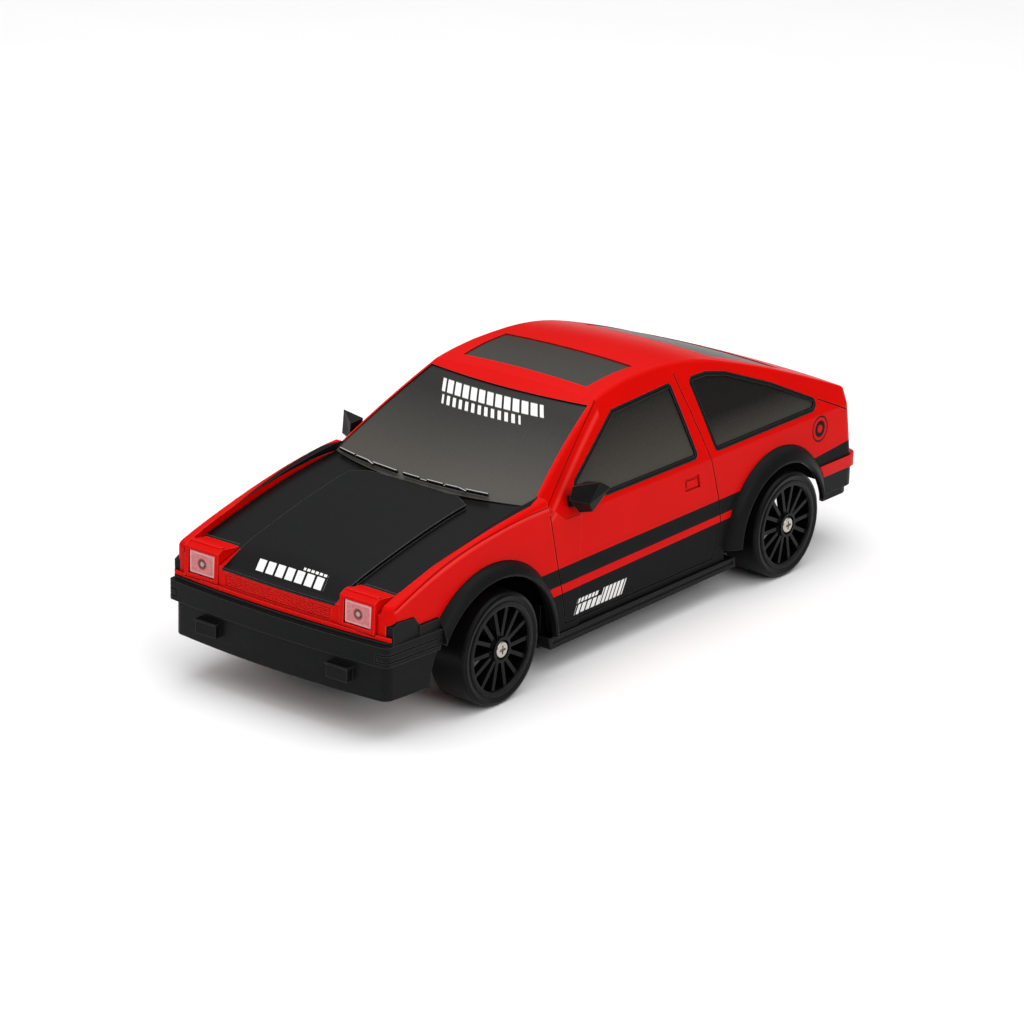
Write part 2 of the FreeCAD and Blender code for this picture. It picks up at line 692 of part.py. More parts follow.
def lamp_box(grow):
    """Left headlight box: square pop-up housing standing above the nose."""
    g = grow
    top = side_plate([(LAMP_X0 - g, 21.2 - g), (LAMP_X0 - g, 29.0 + g), (LAMP_FACE_X - 1.2, LAMP_TOP_Z + g),
                      (LAMP_FACE_X + g, LAMP_TOP_Z - 0.7 + g), (LAMP_FACE_X + g + 0.3, 22.5 - g),
                      (LAMP_FACE_X - 1.6, 21.2 - g)], LAMP_Y0 - g, LAMP_Y1 + g)
    return top


def headlight():
    """Left housing, lens and lamp."""
    housing = lamp_box(0.0)
    bowl = box(LAMP_X0 + 1.4, 90, LENS_Y0 + 0.4, LENS_Y1 - 0.4, LENS_Z0 + 0.4, LENS_Z1 - 0.4)
    rebate = box(LAMP_FACE_X - 1.1, 90, LENS_Y0, LENS_Y1, LENS_Z0, LENS_Z1)
    brow = side_plate([(LAMP_FACE_X - 2.6, LAMP_TOP_Z - 0.35), (LAMP_FACE_X - 2.2, LAMP_TOP_Z + 0.3),
                       (LAMP_FACE_X - 1.2, LAMP_TOP_Z + 0.3), (LAMP_FACE_X - 0.9, LAMP_TOP_Z - 0.35)],
                      LAMP_Y0 + 0.3, LAMP_Y1 - 0.3)
    housing = cut(fuse(housing, brow), bowl, rebate)
    lens = box(LAMP_FACE_X - 1.05, LAMP_FACE_X - 0.15, LENS_Y0 + 0.05, LENS_Y1 - 0.05,
               LENS_Z0 + 0.05, LENS_Z1 - 0.05)
    lens = lens.makeChamfer(0.2, edges_where(lens, lambda e, p: p.x > LAMP_FACE_X - 0.2))
    mid_y = (LENS_Y0 + LENS_Y1) / 2
    mid_z = (LENS_Z0 + LENS_Z1) / 2
    led = fuse(along_x(LAMP_X0 + 1.45, LAMP_FACE_X - 3.4, mid_y, mid_z, 1.45),
               Part.makeSphere(1.45, vec(LAMP_FACE_X - 3.4, mid_y, mid_z)))
    led = fuse(led, along_x(LAMP_X0 + 1.45, LAMP_X0 + 2.1, mid_y, mid_z, 1.7))
    return housing, lens, led


def bonnet():
    base = bonnet_outline(0.0, 0.25).common(under_bonnet(0.0)).cut(under_bonnet(BONNET_SKIN))
    raised = bonnet_outline(0.0, 0.25).common(bulge_outline()).common(under_bulge())
    raised = raised.cut(under_bonnet(BONNET_SKIN / 2))
    edge = box(LAMP_X0 - 0.75, LAMP_X0 - 0.05, 16.8, BONNET_HALF_Y - 0.3, 20, 40)
    edge = edge.common(under_bonnet(-0.32)).cut(under_bonnet(BONNET_SKIN / 2))
    return fuse(base, raised, *both_sides(edge))


def window_set(points):
    """Left window as a black surround and a sunk pane."""
    x0 = min(p[0] for p in points) - 3
    x1 = max(p[0] for p in points) + 3
    rim = side_band(0.12, 1.0, x0, x1)
    pane = side_band(-0.3, 1.0, x0, x1)
    outer = window_prism(points, 1.2, 0.0)
    inner = window_prism(points, 1.2, -SURROUND)
    glass = window_prism(points, 1.2, -SURROUND - 0.05)
    return rim.common(outer).cut(inner), pane.common(glass)


def windscreen():
    slab = before_screen(-SKIN).cut(before_screen(-0.3))
    return slab.common(screen_prism(-0.02))


def block(front, back):
    """Solid between two four-cornered ends, its sides split into triangles."""
    faces = []
    for ring in (front, back):
        faces.append((ring[0], ring[1], ring[2]))
        faces.append((ring[0], ring[2], ring[3]))
    for i in range(4):
        j = (i + 1) % 4
        faces.append((front[i], front[j], back[j]))
        faces.append((front[i], back[j], back[i]))
    shell = Part.makeShell([polygon(list(face)) for face in faces])
    shell.sewShape()
    solid = Part.makeSolid(shell)
    if solid.Volume < 0:
        solid.reverse()
    return solid


def door_mirror():
    """Left mirror: a raked box on a short foot."""
    front = [vec(25.4, 29.6, 37.1), vec(23.4, 33.4, 36.6), vec(21.5, 34.6, 41.2), vec(24.8, 29.8, 39.9)]
    back = [vec(22.0, 29.7, 33.5), vec(21.0, 32.4, 34.1), vec(19.0, 35.2, 39.6), vec(20.4, 30.1, 40.0)]
    root = [vec(23.4, 27.9, 34.6), vec(20.6, 27.9, 34.2), vec(20.6, 27.4, 36.6), vec(23.2, 27.4, 37.0)]
    tip = [vec(23.2, 30.6, 35.6), vec(21.2, 30.6, 35.0), vec(21.2, 30.6, 37.6), vec(23.0, 30.6, 38.0)]
    return fuse(block(front, back), block(root, tip)).cut(side_prism(-0.06, 15, 35))


def on_glass(s, y, lift):
    """Point above the windscreen, lifted square to the glass."""
    x, _, z = screen_point(s, y)
    return vec(x + 0.45 * lift, y, z + 0.89 * lift)


def rod(start, end, radius):
    return Part.makeCylinder(radius, (end - start).Length, start, end - start)


def wiper(bars, arm):
    """One wiper: raised bars on a thin blade, and the arm's bent end."""
    marks = [y for bar in bars for y in bar]
    pieces = []
    for y0, y1 in zip(marks, marks[1:]):
        pieces.append(rod(on_glass(WIPER_S, y0, 0.22), on_glass(WIPER_S, y1, 0.22), 0.22))
    for y0, y1 in bars:
        pieces.append(rod(on_glass(WIPER_S, y0, 0.6), on_glass(WIPER_S, y1, 0.6), 0.27))
    pieces.append(rod(on_glass(WIPER_S, arm[0], 0.6), on_glass(0.0, arm[1], 0.55), 0.25))
    return fuse(*pieces)


def tail_lamp():
    slab = ahead_of_tail(-0.5).cut(ahead_of_tail(-0.06))
    return slab.common(box(-90, -70, 12.0, 26.6, 24.5, 28.0))


def grille():
    slab = nose_outline(0.12).cut(nose_outline(0.5))
    return slab.common(box(70, 90, -14.0, 14.0, 23.0, 25.3))


def grille_recess():
    slab = nose_outline(-1.0).cut(nose_outline(0.56))
    return slab.common(box(70, 90, -14.1, 14.1, 22.9, 25.4))


# ---- chassis -------------------------------------------------------------
def corners():
    """The four body posts as (x, y)."""
    return [(x, y * side) for x, y in POSTS for side in (-1, 1)]


def chassis_tub():
    narrow = 15.6
    half = [(70.0, 13.0), (60.0, 14.4), (52.0, narrow), (34.0, narrow), (29.0, TUB_Y), (-33.5, TUB_Y),
            (-37.0, 20.6), (-64.0, 20.6), (-73.0, 14.0)]
    outline = [(x, -y) for x, y in half] + [(x, y) for x, y in reversed(half)]
    floor = plan_plate(outline, FLOOR_Z0, FLOOR_Z1)
    walls = []
    for side in (-1, 1):
        y = side * (TUB_Y - TUB_WALL / 2)
        walls.append(box(-33.0, 28.6, y - TUB_WALL / 2, y + TUB_WALL / 2, FLOOR_Z1 - 0.2, 14.0))
    for x0 in (BAY_X0 - TUB_WALL, BAY_X1):
        wall = box(x0, x0 + TUB_WALL, -TUB_Y + 0.3, TUB_Y - 0.3, FLOOR_Z1 - 0.2, 16.9)
        walls.append(wall.cut(along_x(x0 - 1, x0 + 3, 0, AXLE_Z, 1.5)))
    for x in (MOTOR_X0 + 1.0, MOTOR_X1 - 2.2):
        saddle = box(x, x + 1.6, MOTOR_Y - 7.0, MOTOR_Y + 7.0, FLOOR_Z1 - 0.2, 11.0)
        saddle = saddle.cut(along_x(x - 1, x + 3, MOTOR_Y, AXLE_Z, 5.98))
        walls.append(saddle.cut(along_x(x - 1, x + 3, 0, AXLE_Z, 1.5)))
    tub = fuse(floor, *walls)
    bay = box(BAY_X0 + 0.3, BAY_X1 - 0.3, -23.6, 23.6, 0, FLOOR_Z1 + 0.1)
    slot = box(SWITCH_X - 2.9, SWITCH_X + 2.9, SWITCH_Y - 1.0, SWITCH_Y + 1.0, 0, FLOOR_Z1 + 1)
    bosses = [along_z(x, y, FLOOR_Z1 - 0.2, FLOOR_Z1 + 0.5, 2.6) for x, y in corners()]
    bridge = box(BAY_X0 - 6.4, BAY_X0 - 1.0, -4.4, 4.4, FLOOR_Z1 - 0.2, FLOOR_Z1 + 1.3)
    tub = fuse(tub, bridge, *bosses)
    tongue_room = box(BAY_X0 - 5.6, BAY_X0 + 0.5, -3.35, 3.35, 0, FLOOR_Z0 + 0.75)
    door_hole = along_z(BAY_X0 - 3.4, 0, 0, 8, 0.75)
    holes = [along_z(x, y, 0, 8, 0.95) for x, y in corners()]
    recesses = [along_z(x, y, 0, FLOOR_Z0 + 0.7, 1.8) for x, y in corners()]
    return cut(tub, bay, slot, tongue_room, door_hole, *(holes + recesses))


def battery_door():
    """Cover under the cells, held by one screw through its tongue."""
    plate = box(BAY_X0 + 0.45, BAY_X1 - 0.45, -23.45, 23.45, FLOOR_Z0, FLOOR_Z1 - 0.1)
    tongue = box(BAY_X0 - 5.4, BAY_X0 + 2.0, -3.2, 3.2, FLOOR_Z0, FLOOR_Z0 + 0.7)
    grooves = [box(BAY_X1 - 12 + 2 * i, BAY_X1 - 11.2 + 2 * i, -6, 6, 0, FLOOR_Z0 + 0.3) for i in range(4)]
    head_room = along_z(BAY_X0 - 3.4, 0, 0, FLOOR_Z0 + 0.46, 1.7)
    return cut(fuse(plate, tongue), along_z(BAY_X0 - 3.4, 0, 0, 8, 0.75), head_room, *grooves)


def screw_up(x, y, z_head, shank_r, z_end, head_h, head_r=1.5):
    head = along_z(x, y, z_head, z_head + head_h, head_r)
    shank = along_z(x, y, z_head + 0.1, z_end, shank_r)
    slots = [box(x - 1.0, x + 1.0, y - 0.17, y + 0.17, z_head - 1, z_head + 0.2),
             box(x - 0.17, x + 0.17, y - 1.0, y + 1.0, z_head - 1, z_head + 0.2)]
    return cut(fuse(head, shank), *slots)


def battery_cells():
    cells = []
    for side in (-1, 1):
        for y in CELL_Y:
            cell = along_x(CELL_X0, CELL_X1 - 0.8, side * y, CELL_Z, CELL_R)
            nub = along_x(CELL_X1 - 1.0, CELL_X1, side * y, CELL_Z, 1.9)
            cells.append(fuse(cell, nub))
    return cells


def circuit_board():
    board = box(BAY_X0 - 1.1, BAY_X1 + 1.1, -16, 16, 16.95, 17.95)
    chips = [box(-8, 2, -4, 4, 17.9, 19.0), box(8, 14, 4, 12, 17.9, 18.9),
             box(-18, -13, -12, -6, 17.9, 18.9),
             along_z(10, -9, 17.9, 21.0, 2.0), along_z(16, -9, 17.9, 21.0, 2.0)]
    return fuse(board, *chips)


def motor_can():
    can = along_x(MOTOR_X0, MOTOR_X1, MOTOR_Y, AXLE_Z, 5.9)
    can = can.cut(along_x(MOTOR_X0 + 0.8, MOTOR_X1 - 0.8, MOTOR_Y, AXLE_Z, 5.2))
    return can.cut(along_x(MOTOR_X0 - 1, MOTOR_X1 - 0.4, MOTOR_Y, AXLE_Z, 0.8 + BORE))


def motor_magnets():
    ring = along_x(MOTOR_X0 + 2.5, MOTOR_X1 - 3.5, MOTOR_Y, AXLE_Z, 5.17, 4.1)
    top = ring.common(box(-90, 90, -40, 40, AXLE_Z + 1.2, 60))
    bottom = ring.common(box(-90, 90, -40, 40, -10, AXLE_Z - 1.2))
    return [top, bottom]


def gear(teeth, module, x0, x1, y, z, phase=0.0, thin=0.36):
    """Spur gear along X; teeth are cut slim so the pair runs with backlash."""
    pitch = module * teeth / 2
    root = pitch - 1.2 * module
    tip = pitch + 0.85 * module
    solid = along_x(x0, x1, y, z, root)
    pieces = []
    for i in range(teeth):
        a = phase + 2 * math.pi * i / teeth
        half_root = thin * 1.5 * math.pi / teeth
        half_tip = thin * 0.62 * math.pi / teeth
        points = []
        for r, da in ((root - 0.2, -half_root), (pitch, -thin * math.pi / teeth), (tip, -half_tip),
                      (tip, half_tip), (pitch, thin * math.pi / teeth), (root - 0.2, half_root)):
            points.append(vec(x0, y + r * math.cos(a + da), z + r * math.sin(a + da)))
        pieces.append(polygon(points).extrude(vec(x1 - x0, 0, 0)))
    return fuse(solid, *pieces)


def motor_rotor():
    shaft = along_x(MOTOR_X0 - 3.0, MOTOR_X1 - 0.6, MOTOR_Y, AXLE_Z, 0.8)
    core = along_x(MOTOR_X0 + 3.5, MOTOR_X1 - 4.5, MOTOR_Y, AXLE_Z, 3.7)
    slots = []
    for i in range(3):
        a = 2 * math.pi * i / 3
        slot = box(MOTOR_X0, MOTOR_X1, -0.35, 0.35, 2.4, 5.0)
        slot.rotate(vec(0, 0, 0), vec(1, 0, 0), math.degrees(a))
        slot.translate(vec(0, MOTOR_Y, AXLE_Z))
        slots.append(slot)
    brush_drum = along_x(MOTOR_X1 - 3.2, MOTOR_X1 - 1.2, MOTOR_Y, AXLE_Z, 1.6)
    phase = math.pi + math.pi / MOTOR_PINION_TEETH
    pinion = gear(MOTOR_PINION_TEETH, DRIVE_MODULE, MOTOR_X0 - 2.9, MOTOR_X0 - 0.9, MOTOR_Y, AXLE_Z, phase)
    return fuse(shaft, cut(core, *slots), brush_drum, pinion)


def drive_shaft():
    shaft = along_x(REAR_MESH_X - PINION_HALF, FRONT_MESH_X + PINION_HALF, 0, AXLE_Z, SHAFT_R)
    pieces = []
    for mid in (REAR_MESH_X, FRONT_MESH_X):
        pieces.append(gear(DRIVE_PINION_TEETH, DRIVE_MODULE, mid - PINION_HALF, mid + PINION_HALF,
                           0, AXLE_Z))
    pieces.append(gear(SPUR_TEETH, DRIVE_MODULE, MOTOR_X0 - 2.9, MOTOR_X0 - 0.9, 0, AXLE_Z))
    return fuse(shaft, *pieces)


def crown(axle_x, side):
    """Contrate gear: teeth stand up from a disc, facing the drive shaft."""
    pitch = DRIVE_MODULE * DRIVE_PINION_TEETH / 2
    base = pitch + 1.25 * DRIVE_MODULE
    tip = pitch - 0.8 * DRIVE_MODULE
    disc = along_y(axle_x, base, base + 1.2, AXLE_Z, CROWN_R + 0.8)
    hub = along_y(axle_x, base, base + 2.0, AXLE_Z, 2.2)
    pieces = [hub]
    tooth = 0.34 * math.pi * DRIVE_MODULE
    for i in range(CROWN_TEETH):
        a = 2 * math.pi * (i + 0.5) / CROWN_TEETH
        wide = tooth * 0.62
        slim = tooth * 0.28
        points = [vec(0, base + 0.2, -wide), vec(0, (base + tip) / 2, -tooth / 2), vec(0, tip, -slim),
                  vec(0, tip, slim), vec(0, (base + tip) / 2, tooth / 2), vec(0, base + 0.2, wide)]
        bar = polygon(points).extrude(vec(1.5, 0, 0))
        bar.translate(vec(CROWN_R - 0.75, 0, 0))
        bar.rotate(vec(0, 0, 0), vec(0, 1, 0), math.degrees(a))
        bar.translate(vec(axle_x, 0, AXLE_Z))
        pieces.append(bar)
    solid = fuse(disc, *pieces)
    return solid if side > 0 else mirror_y(solid)


def gearbox(axle_x, side, inner_y, arms):
    """Housing round one axle's crown gear; side is where the drive shaft enters."""
    near = axle_x + side * (CROWN_R + 2.2)
    far = axle_x - side * (CROWN_R + 2.2)
    x0 = min(near, far)
    x1 = max(near, far)
    shell = box(x0, x1, -inner_y, inner_y, FLOOR_Z1 + 0.05, 19.6)
    room = box(x0 + 0.9, x1 - 0.9, -inner_y + 0.9, inner_y - 0.9, 0, 18.7)
    pieces = [shell.cut(room)]
    if arms:
        for half in (-1, 1):
            end = half * KINGPIN_Y
            edge = half * (inner_y - 0.5)
            for z0, z1 in ((16.5, 17.7), (6.2, 7.4)):
                pieces.append(box(axle_x - 2.2, axle_x + 2.2, min(edge, end), max(edge, end), z0, z1))
                pieces.append(along_z(axle_x, end, z0, z1, 2.2))
    solid = fuse(*pieces)
    tools = [along_y(axle_x, -30, 30, AXLE_Z, SHAFT_R + BORE),
             along_x(min(near - side * 3, near + side * 3), max(near - side * 3, near + side * 3),
                     0, AXLE_Z, SHAFT_R + BORE)]
    if arms:
        tools += [along_z(axle_x, half * KINGPIN_Y, 0, 30, 0.9 + BORE) for half in (-1, 1)]
    return cut(solid, *tools)


def rear_axle():
    axle = along_y(REAR_AXLE_X, -AXLE_END, AXLE_END, AXLE_Z, SHAFT_R)
    parts = [crown(REAR_AXLE_X, 1)]
    for side in (-1, 1):
        parts.append(hex_hub(REAR_AXLE_X, side))
    solid = fuse(axle, *parts)
    bores = [along_y(REAR_AXLE_X, min(side * SCREW_END, side * 40), max(side * SCREW_END, side * 40),
                     AXLE_Z, 0.62) for side in (-1, 1)]
    return cut(solid, *bores)


# ---- wheels, hubs and steering -------------------------------------------
def hex_hub(axle_x, side):
    points = []
    for i in range(6):
        a = math.pi / 3 * i
        points.append(vec(axle_x + HEX_R * math.cos(a), HEX_Y0, AXLE_Z + HEX_R * math.sin(a)))
    solid = polygon(points).extrude(vec(0, HEX_Y1 - HEX_Y0, 0))
    return solid if side > 0 else mirror_y(solid)


def front_drive():
    """Front crown gear with its half shafts, balls and cross pins."""
    reach = KINGPIN_Y
    solid = fuse(along_y(FRONT_AXLE_X, -reach, reach, AXLE_Z, SHAFT_R), crown(FRONT_AXLE_X, -1))
    for side in (-1, 1):
        centre = vec(FRONT_AXLE_X, side * reach, AXLE_Z)
        pin = along_x(FRONT_AXLE_X - 2.5, FRONT_AXLE_X + 2.5, side * reach, AXLE_Z, 0.4)
        solid = fuse(solid, Part.makeSphere(BALL_R, centre), pin)
    return solid


def stub_axle():
    """Left wheel's stub: slotted cup round the ball, shaft and hexagon."""
    cup = along_y(FRONT_AXLE_X, 17.4, CUP_END, AXLE_Z, 2.9)
    cup = cup.cut(along_y(FRONT_AXLE_X, 17.0, CUP_END - 0.6, AXLE_Z, 2.1))
    slot = box(FRONT_AXLE_X - 4, FRONT_AXLE_X + 4, 17.0, 20.8, AXLE_Z - 0.55, AXLE_Z + 0.55)
    shaft = along_y(FRONT_AXLE_X, CUP_END - 0.3, AXLE_END, AXLE_Z, SHAFT_R)
    solid = fuse(cup.cut(slot), shaft, hex_hub(FRONT_AXLE_X, 1))
    return solid.cut(along_y(FRONT_AXLE_X, SCREW_END, 40, AXLE_Z, 0.62))


def knuckle():
    """Left knuckle: bearing plate, two lugs with pins, and the steering arm."""
    x = FRONT_AXLE_X
    plate = box(x - 3.0, x + 3.0, CUP_END + 0.1, CUP_END + 1.1, 7.6, 16.2)
    lugs = [box(x - 2.4, x + 2.4, KINGPIN_Y - 1.6, CUP_END + 0.4, 15.2, 16.2),
            box(x - 2.4, x + 2.4, KINGPIN_Y - 1.6, CUP_END + 0.4, 7.6, 8.7)]
    pins = [along_z(x, KINGPIN_Y, 15.4, 17.9, 0.9), along_z(x, KINGPIN_Y, 6.0, 7.8, 0.9)]
    arm = box(TIE_ROD_X - 1.1, x - 2.0, KINGPIN_Y - 1.1, KINGPIN_Y + 1.1, 15.2, 16.2)
    stud = along_z(TIE_ROD_X, KINGPIN_Y, 15.4, 18.3, 0.7)
    solid = fuse(plate, *(lugs + pins + [arm, stud]))
    return solid.cut(along_y(x, 18, 30, AXLE_Z, SHAFT_R + BORE))


def slot_hole(y, toward):
    """Slot that lets a pin on a turning arm move a little along X."""
    shift = toward * (ARM * (1 - math.cos(math.radians(STEER_DEG))) + 0.1)
    near = TIE_ROD_X - toward * 0.08
    far = TIE_ROD_X + shift
    return fuse(along_z(near, y, 10, 30, 0.77), along_z(far, y, 10, 30, 0.77),
                box(min(near, far), max(near, far), y - 0.77, y + 0.77, 10, 30))


def tie_rod():
    z0 = 16.5
    z1 = 17.6
    bar = box(TIE_ROD_X - 0.6, TIE_ROD_X + 0.8, -KINGPIN_Y, KINGPIN_Y, z0, z1)
    pads = []
    holes = []
    for y, toward in ((-KINGPIN_Y, 1), (SERVO_Y, -1), (KINGPIN_Y, 1)):
        middle = TIE_ROD_X + toward * 0.4
        pads.append(box(middle - 2.0, middle + 2.0, y - 1.6, y + 1.6, z0, z1))
        holes.append(slot_hole(y, toward))
    return cut(fuse(bar, *pads), *holes)


def servo():
    case = box(27.2, 37.4, -15.4, -6.6, FLOOR_Z1 + 0.05, 13.9)
    boss = along_z(SERVO_X, SERVO_Y, 13.8, 15.0, 2.4)
    return fuse(case, boss).cut(along_z(SERVO_X, SERVO_Y, 11.0, 20, 0.9 + BORE))


def servo_horn():
    arm = box(SERVO_X, TIE_ROD_X, SERVO_Y - 1.1, SERVO_Y + 1.1, 15.2, 16.2)
    ends = [along_z(SERVO_X, SERVO_Y, 15.2, 16.6, 2.0), along_z(TIE_ROD_X, SERVO_Y, 15.2, 16.2, 1.1),
            along_z(TIE_ROD_X, SERVO_Y, 15.4, 18.3, 0.7), along_z(SERVO_X, SERVO_Y, 11.4, 15.4, 0.9)]
    return fuse(arm, *ends)


def power_switch():
    knob = box(SWITCH_X - 1.4, SWITCH_X + 1.4, SWITCH_Y - 0.85, SWITCH_Y + 0.85, FLOOR_Z0 + 0.1, 5.9)
    flange = box(SWITCH_X - 3.4, SWITCH_X + 3.4, SWITCH_Y - 1.9, SWITCH_Y + 1.9, FLOOR_Z1 + 0.1, 6.6)
    return fuse(knob, flange)


def switch_case():
    x0 = SWITCH_X - 5.2
    x1 = SWITCH_X + 5.2
    case = box(SWITCH_X - 5.6, SWITCH_X + 5.6, SWITCH_Y - 2.8, SWITCH_Y + 2.8, FLOOR_Z1 + 0.05, 9.4)
    room = box(x0, x1, SWITCH_Y - 2.1, SWITCH_Y + 2.1, 0, 6.9)
    return case.cut(room)


def tyre():
    y1 = TYRE_OUTER_Y
    y0 = y1 - TYRE_WIDTH
    profile = [vec(RIM_R, y0 + 0.2, 0), vec(TYRE_R - 0.7, y0, 0), vec(TYRE_R, y0 + 0.8, 0),
               vec(TYRE_R, y1 - 0.9, 0),
               vec(TYRE_R - 0.25, y1 - 0.3, 0), vec(TYRE_R - 0.9, y1, 0), vec(RIM_R, y1 - 0.25, 0)]
    ring = polygon(profile).revolve(vec(0, 0, 0), vec(0, 1, 0), 360)
    return ring


def spokes():
    blades = []
    pairs = 7
    for p in range(pairs):
        mid = math.pi / 2 + 2 * math.pi * p / pairs
        for side in (-1, 1):
            a0 = mid + side * math.radians(9.0)
            a1 = mid + side * math.pi / (2 * pairs)
            inner = vec(2.5 * math.cos(a0), 0, 2.5 * math.sin(a0))
            outer = vec(9.2 * math.cos(a1), 0, 9.2 * math.sin(a1))
            run = (outer - inner).normalize()
            across = vec(-run.z * 0.42, 0, run.x * 0.42)
            points = [inner - across, outer - across, outer + across, inner + across]
            blade = polygon([point + vec(0, 29.9, 0) for point in points]).extrude(vec(0, 1.6, 0))
            blades.append(blade)
    return blades


def rim():
    """Left rim about the Y axis: barrel, lip, 14 spokes in pairs and the hub."""
    y_out = TYRE_OUTER_Y - 0.1
    barrel = tube(vec(0, 23.2, 0), vec(0, 1, 0), RIM_R - 0.03, y_out - 23.2, 8.95)
    section = polygon([vec(8.75, y_out - 0.9, 0), vec(9.75, y_out - 0.9, 0), vec(9.75, y_out + 0.1, 0),
                       vec(9.1, y_out + 0.1, 0), vec(8.75, y_out - 0.4, 0)])
    lip = section.revolve(vec(0, 0, 0), vec(0, 1, 0), 360)
    hub = fuse(along_y(0, HEX_Y0 - 0.1, 29.5, 0, 3.25), along_y(0, 29.0, HUB_FACE_Y, 0, 2.7))
    solid = fuse(barrel, lip, hub, *spokes())
    bores = [along_y(0, 20, AXLE_END + 0.1, 0, SHAFT_R + 0.04), along_y(0, 20, 33, 0, 0.68),
             along_y(0, 31.1, 34, 0, 2.1)]
    corners_at = []
    for i in range(6):
        a = math.pi / 3 * i
        corners_at.append(vec((HEX_R + 0.05) * math.cos(a), HEX_Y0 - 0.3, (HEX_R + 0.05) * math.sin(a)))
    key = polygon(corners_at).extrude(vec(0, HEX_Y1 - HEX_Y0 + 0.4, 0))
    return cut(solid, key, *bores)


def wheel_screw():
    head = along_y(0, 31.2, 32.2, 0, 1.75)
    head = head.makeFillet(0.35, edges_where(head, lambda e, p: p.y > 32.1))
    shank = along_y(0, SCREW_END + 0.15, 31.4, 0, 0.58)
    cross = [box(-0.95, 0.95, 31.75, 33, -0.24, 0.24), box(-0.24, 0.24, 31.75, 33, -0.95, 0.95)]
    return cut(fuse(head, shank), *cross)


def placed(shape, axle_x, side):
    copy = shape.copy()
    copy.translate(vec(axle_x, 0, AXLE_Z))
    return copy if side > 0 else mirror_y(copy)


# ---- assembly ------------------------------------------------------------
def make_body():
    front_void = arch_cylinder(FRONT_AXLE_X, FRONT_ARCH[0], FRONT_ARCH[2] + 0.05)
    rear_void = arch_cylinder(REAR_AXLE_X, REAR_ARCH[0], REAR_ARCH[2] + 0.05)
    outer, inner = make_forms()
    shell = cut(outer.cut(inner), *shell_cutters([front_void, rear_void]))
    lip = cut(nose_lip(), *both_sides(lamp_box(GAP)))
    shell = fuse(shell, lip).cut(grille_recess())
    for line in (DOOR_FRONT, DOOR_REAR, DOOR_SILL, HATCH_SIDE):
        shell = cut(shell, *both_sides(side_seam(line)))
    shell = cut(shell, *roof_seams())
    for recess in handle_recess():
        shell = cut(shell, *both_sides(recess))
    posts = []
    for x, y in corners():
        post = along_z(x, y, FLOOR_Z1 + 0.6, 40, 2.0, 0.85)
        posts.append(post.common(inner))
    panel = bonnet()
    save("body_shell", fuse(shell, *posts).cut(panel))
    save("bonnet_panel", panel)
    save("windscreen", windscreen())
    save("sunroof_panel", roof_plate(SUNROOF, 0.35, 1.1))
    save("rear_window", roof_plate(REAR_WINDOW, 0.2, 1.1))
    for name, points in (("door_window", DOOR_WINDOW), ("quarter_window", QUARTER_WINDOW)):
        surround, pane = window_set(points)
        save(name + "_surrounds", *both_sides(surround))
        save(name + "_panes", *both_sides(pane))
    save("grille_panel", grille())
    housing, lens, led = headlight()
    save("headlight_boxes", *both_sides(housing))
    save("headlight_lenses", *both_sides(lens))
    save("headlight_lamps", *both_sides(led))
    save("tail_lamps", *both_sides(tail_lamp()))
    save("front_bumper", front_bumper([arch_cylinder(FRONT_AXLE_X, FRONT_ARCH[0], FRONT_ARCH[1] + 0.3)]))
    save("rear_bumper", rear_bumper([arch_cylinder(REAR_AXLE_X, REAR_ARCH[0], REAR_ARCH[2] + 0.1)]))
    mirror = door_mirror()
    save("door_mirror_left", mirror)
    save("door_mirror_right", mirror_y(mirror))
    save("wipers", wiper(*WIPER_RIGHT), wiper(*WIPER_LEFT))
    save("side_skirts", *both_sides(skirt()))
    bumper_keep = front_bumper_form(GAP).cut(box(-90, FRONT_BUMPER_BACK - GAP, -40, 40, 0, 60))
    front_flare = arch_flare(FRONT_AXLE_X, FRONT_ARCH)
    front_flare = front_flare.cut(bumper_keep).cut(box(FRONT_BUMPER_BACK - GAP, 90, 0, 40, 0, 23.1))
    for side, shape in zip(("left", "right"), both_sides(largest(front_flare))):
        save("arch_front_" + side, shape)
    rear_flare = arch_flare(REAR_AXLE_X, REAR_ARCH)
    rear_flare = rear_flare.cut(box(-90, 0, 0, 40, 0, 10.4))
    rear_flare = rear_flare.cut(box(-90, -REAR_BUMPER_BACK + 0.15, 0, 40, 0, 21.2))
    for side, shape in zip(("left", "right"), both_sides(largest(rear_flare))):
        save("arch_rear_" + side, shape)


def make_chassis():
    save("chassis_tub", chassis_tub())
    save("battery_door", battery_door())
    save("battery_door_screw", screw_up(BAY_X0 - 3.4, 0, FLOOR_Z0 + 0.03, 0.7, 8.0, 0.4))
    save("battery_cells", *battery_cells())
    save("circuit_board", circuit_board())
    save("switch_case", switch_case())
    save("motor_can", motor_can())
    save("motor_magnets", *motor_magnets())
    save("gearbox_front", gearbox(FRONT_AXLE_X, -1, 6.2, True))
    save("gearbox_rear", gearbox(REAR_AXLE_X, 1, 6.2, False))
    save("servo_case", servo())
    save("shell_screws", *[screw_up(x, y, FLOOR_Z0 + 0.05, 0.8, 13.0, 0.6) for x, y in corners()])


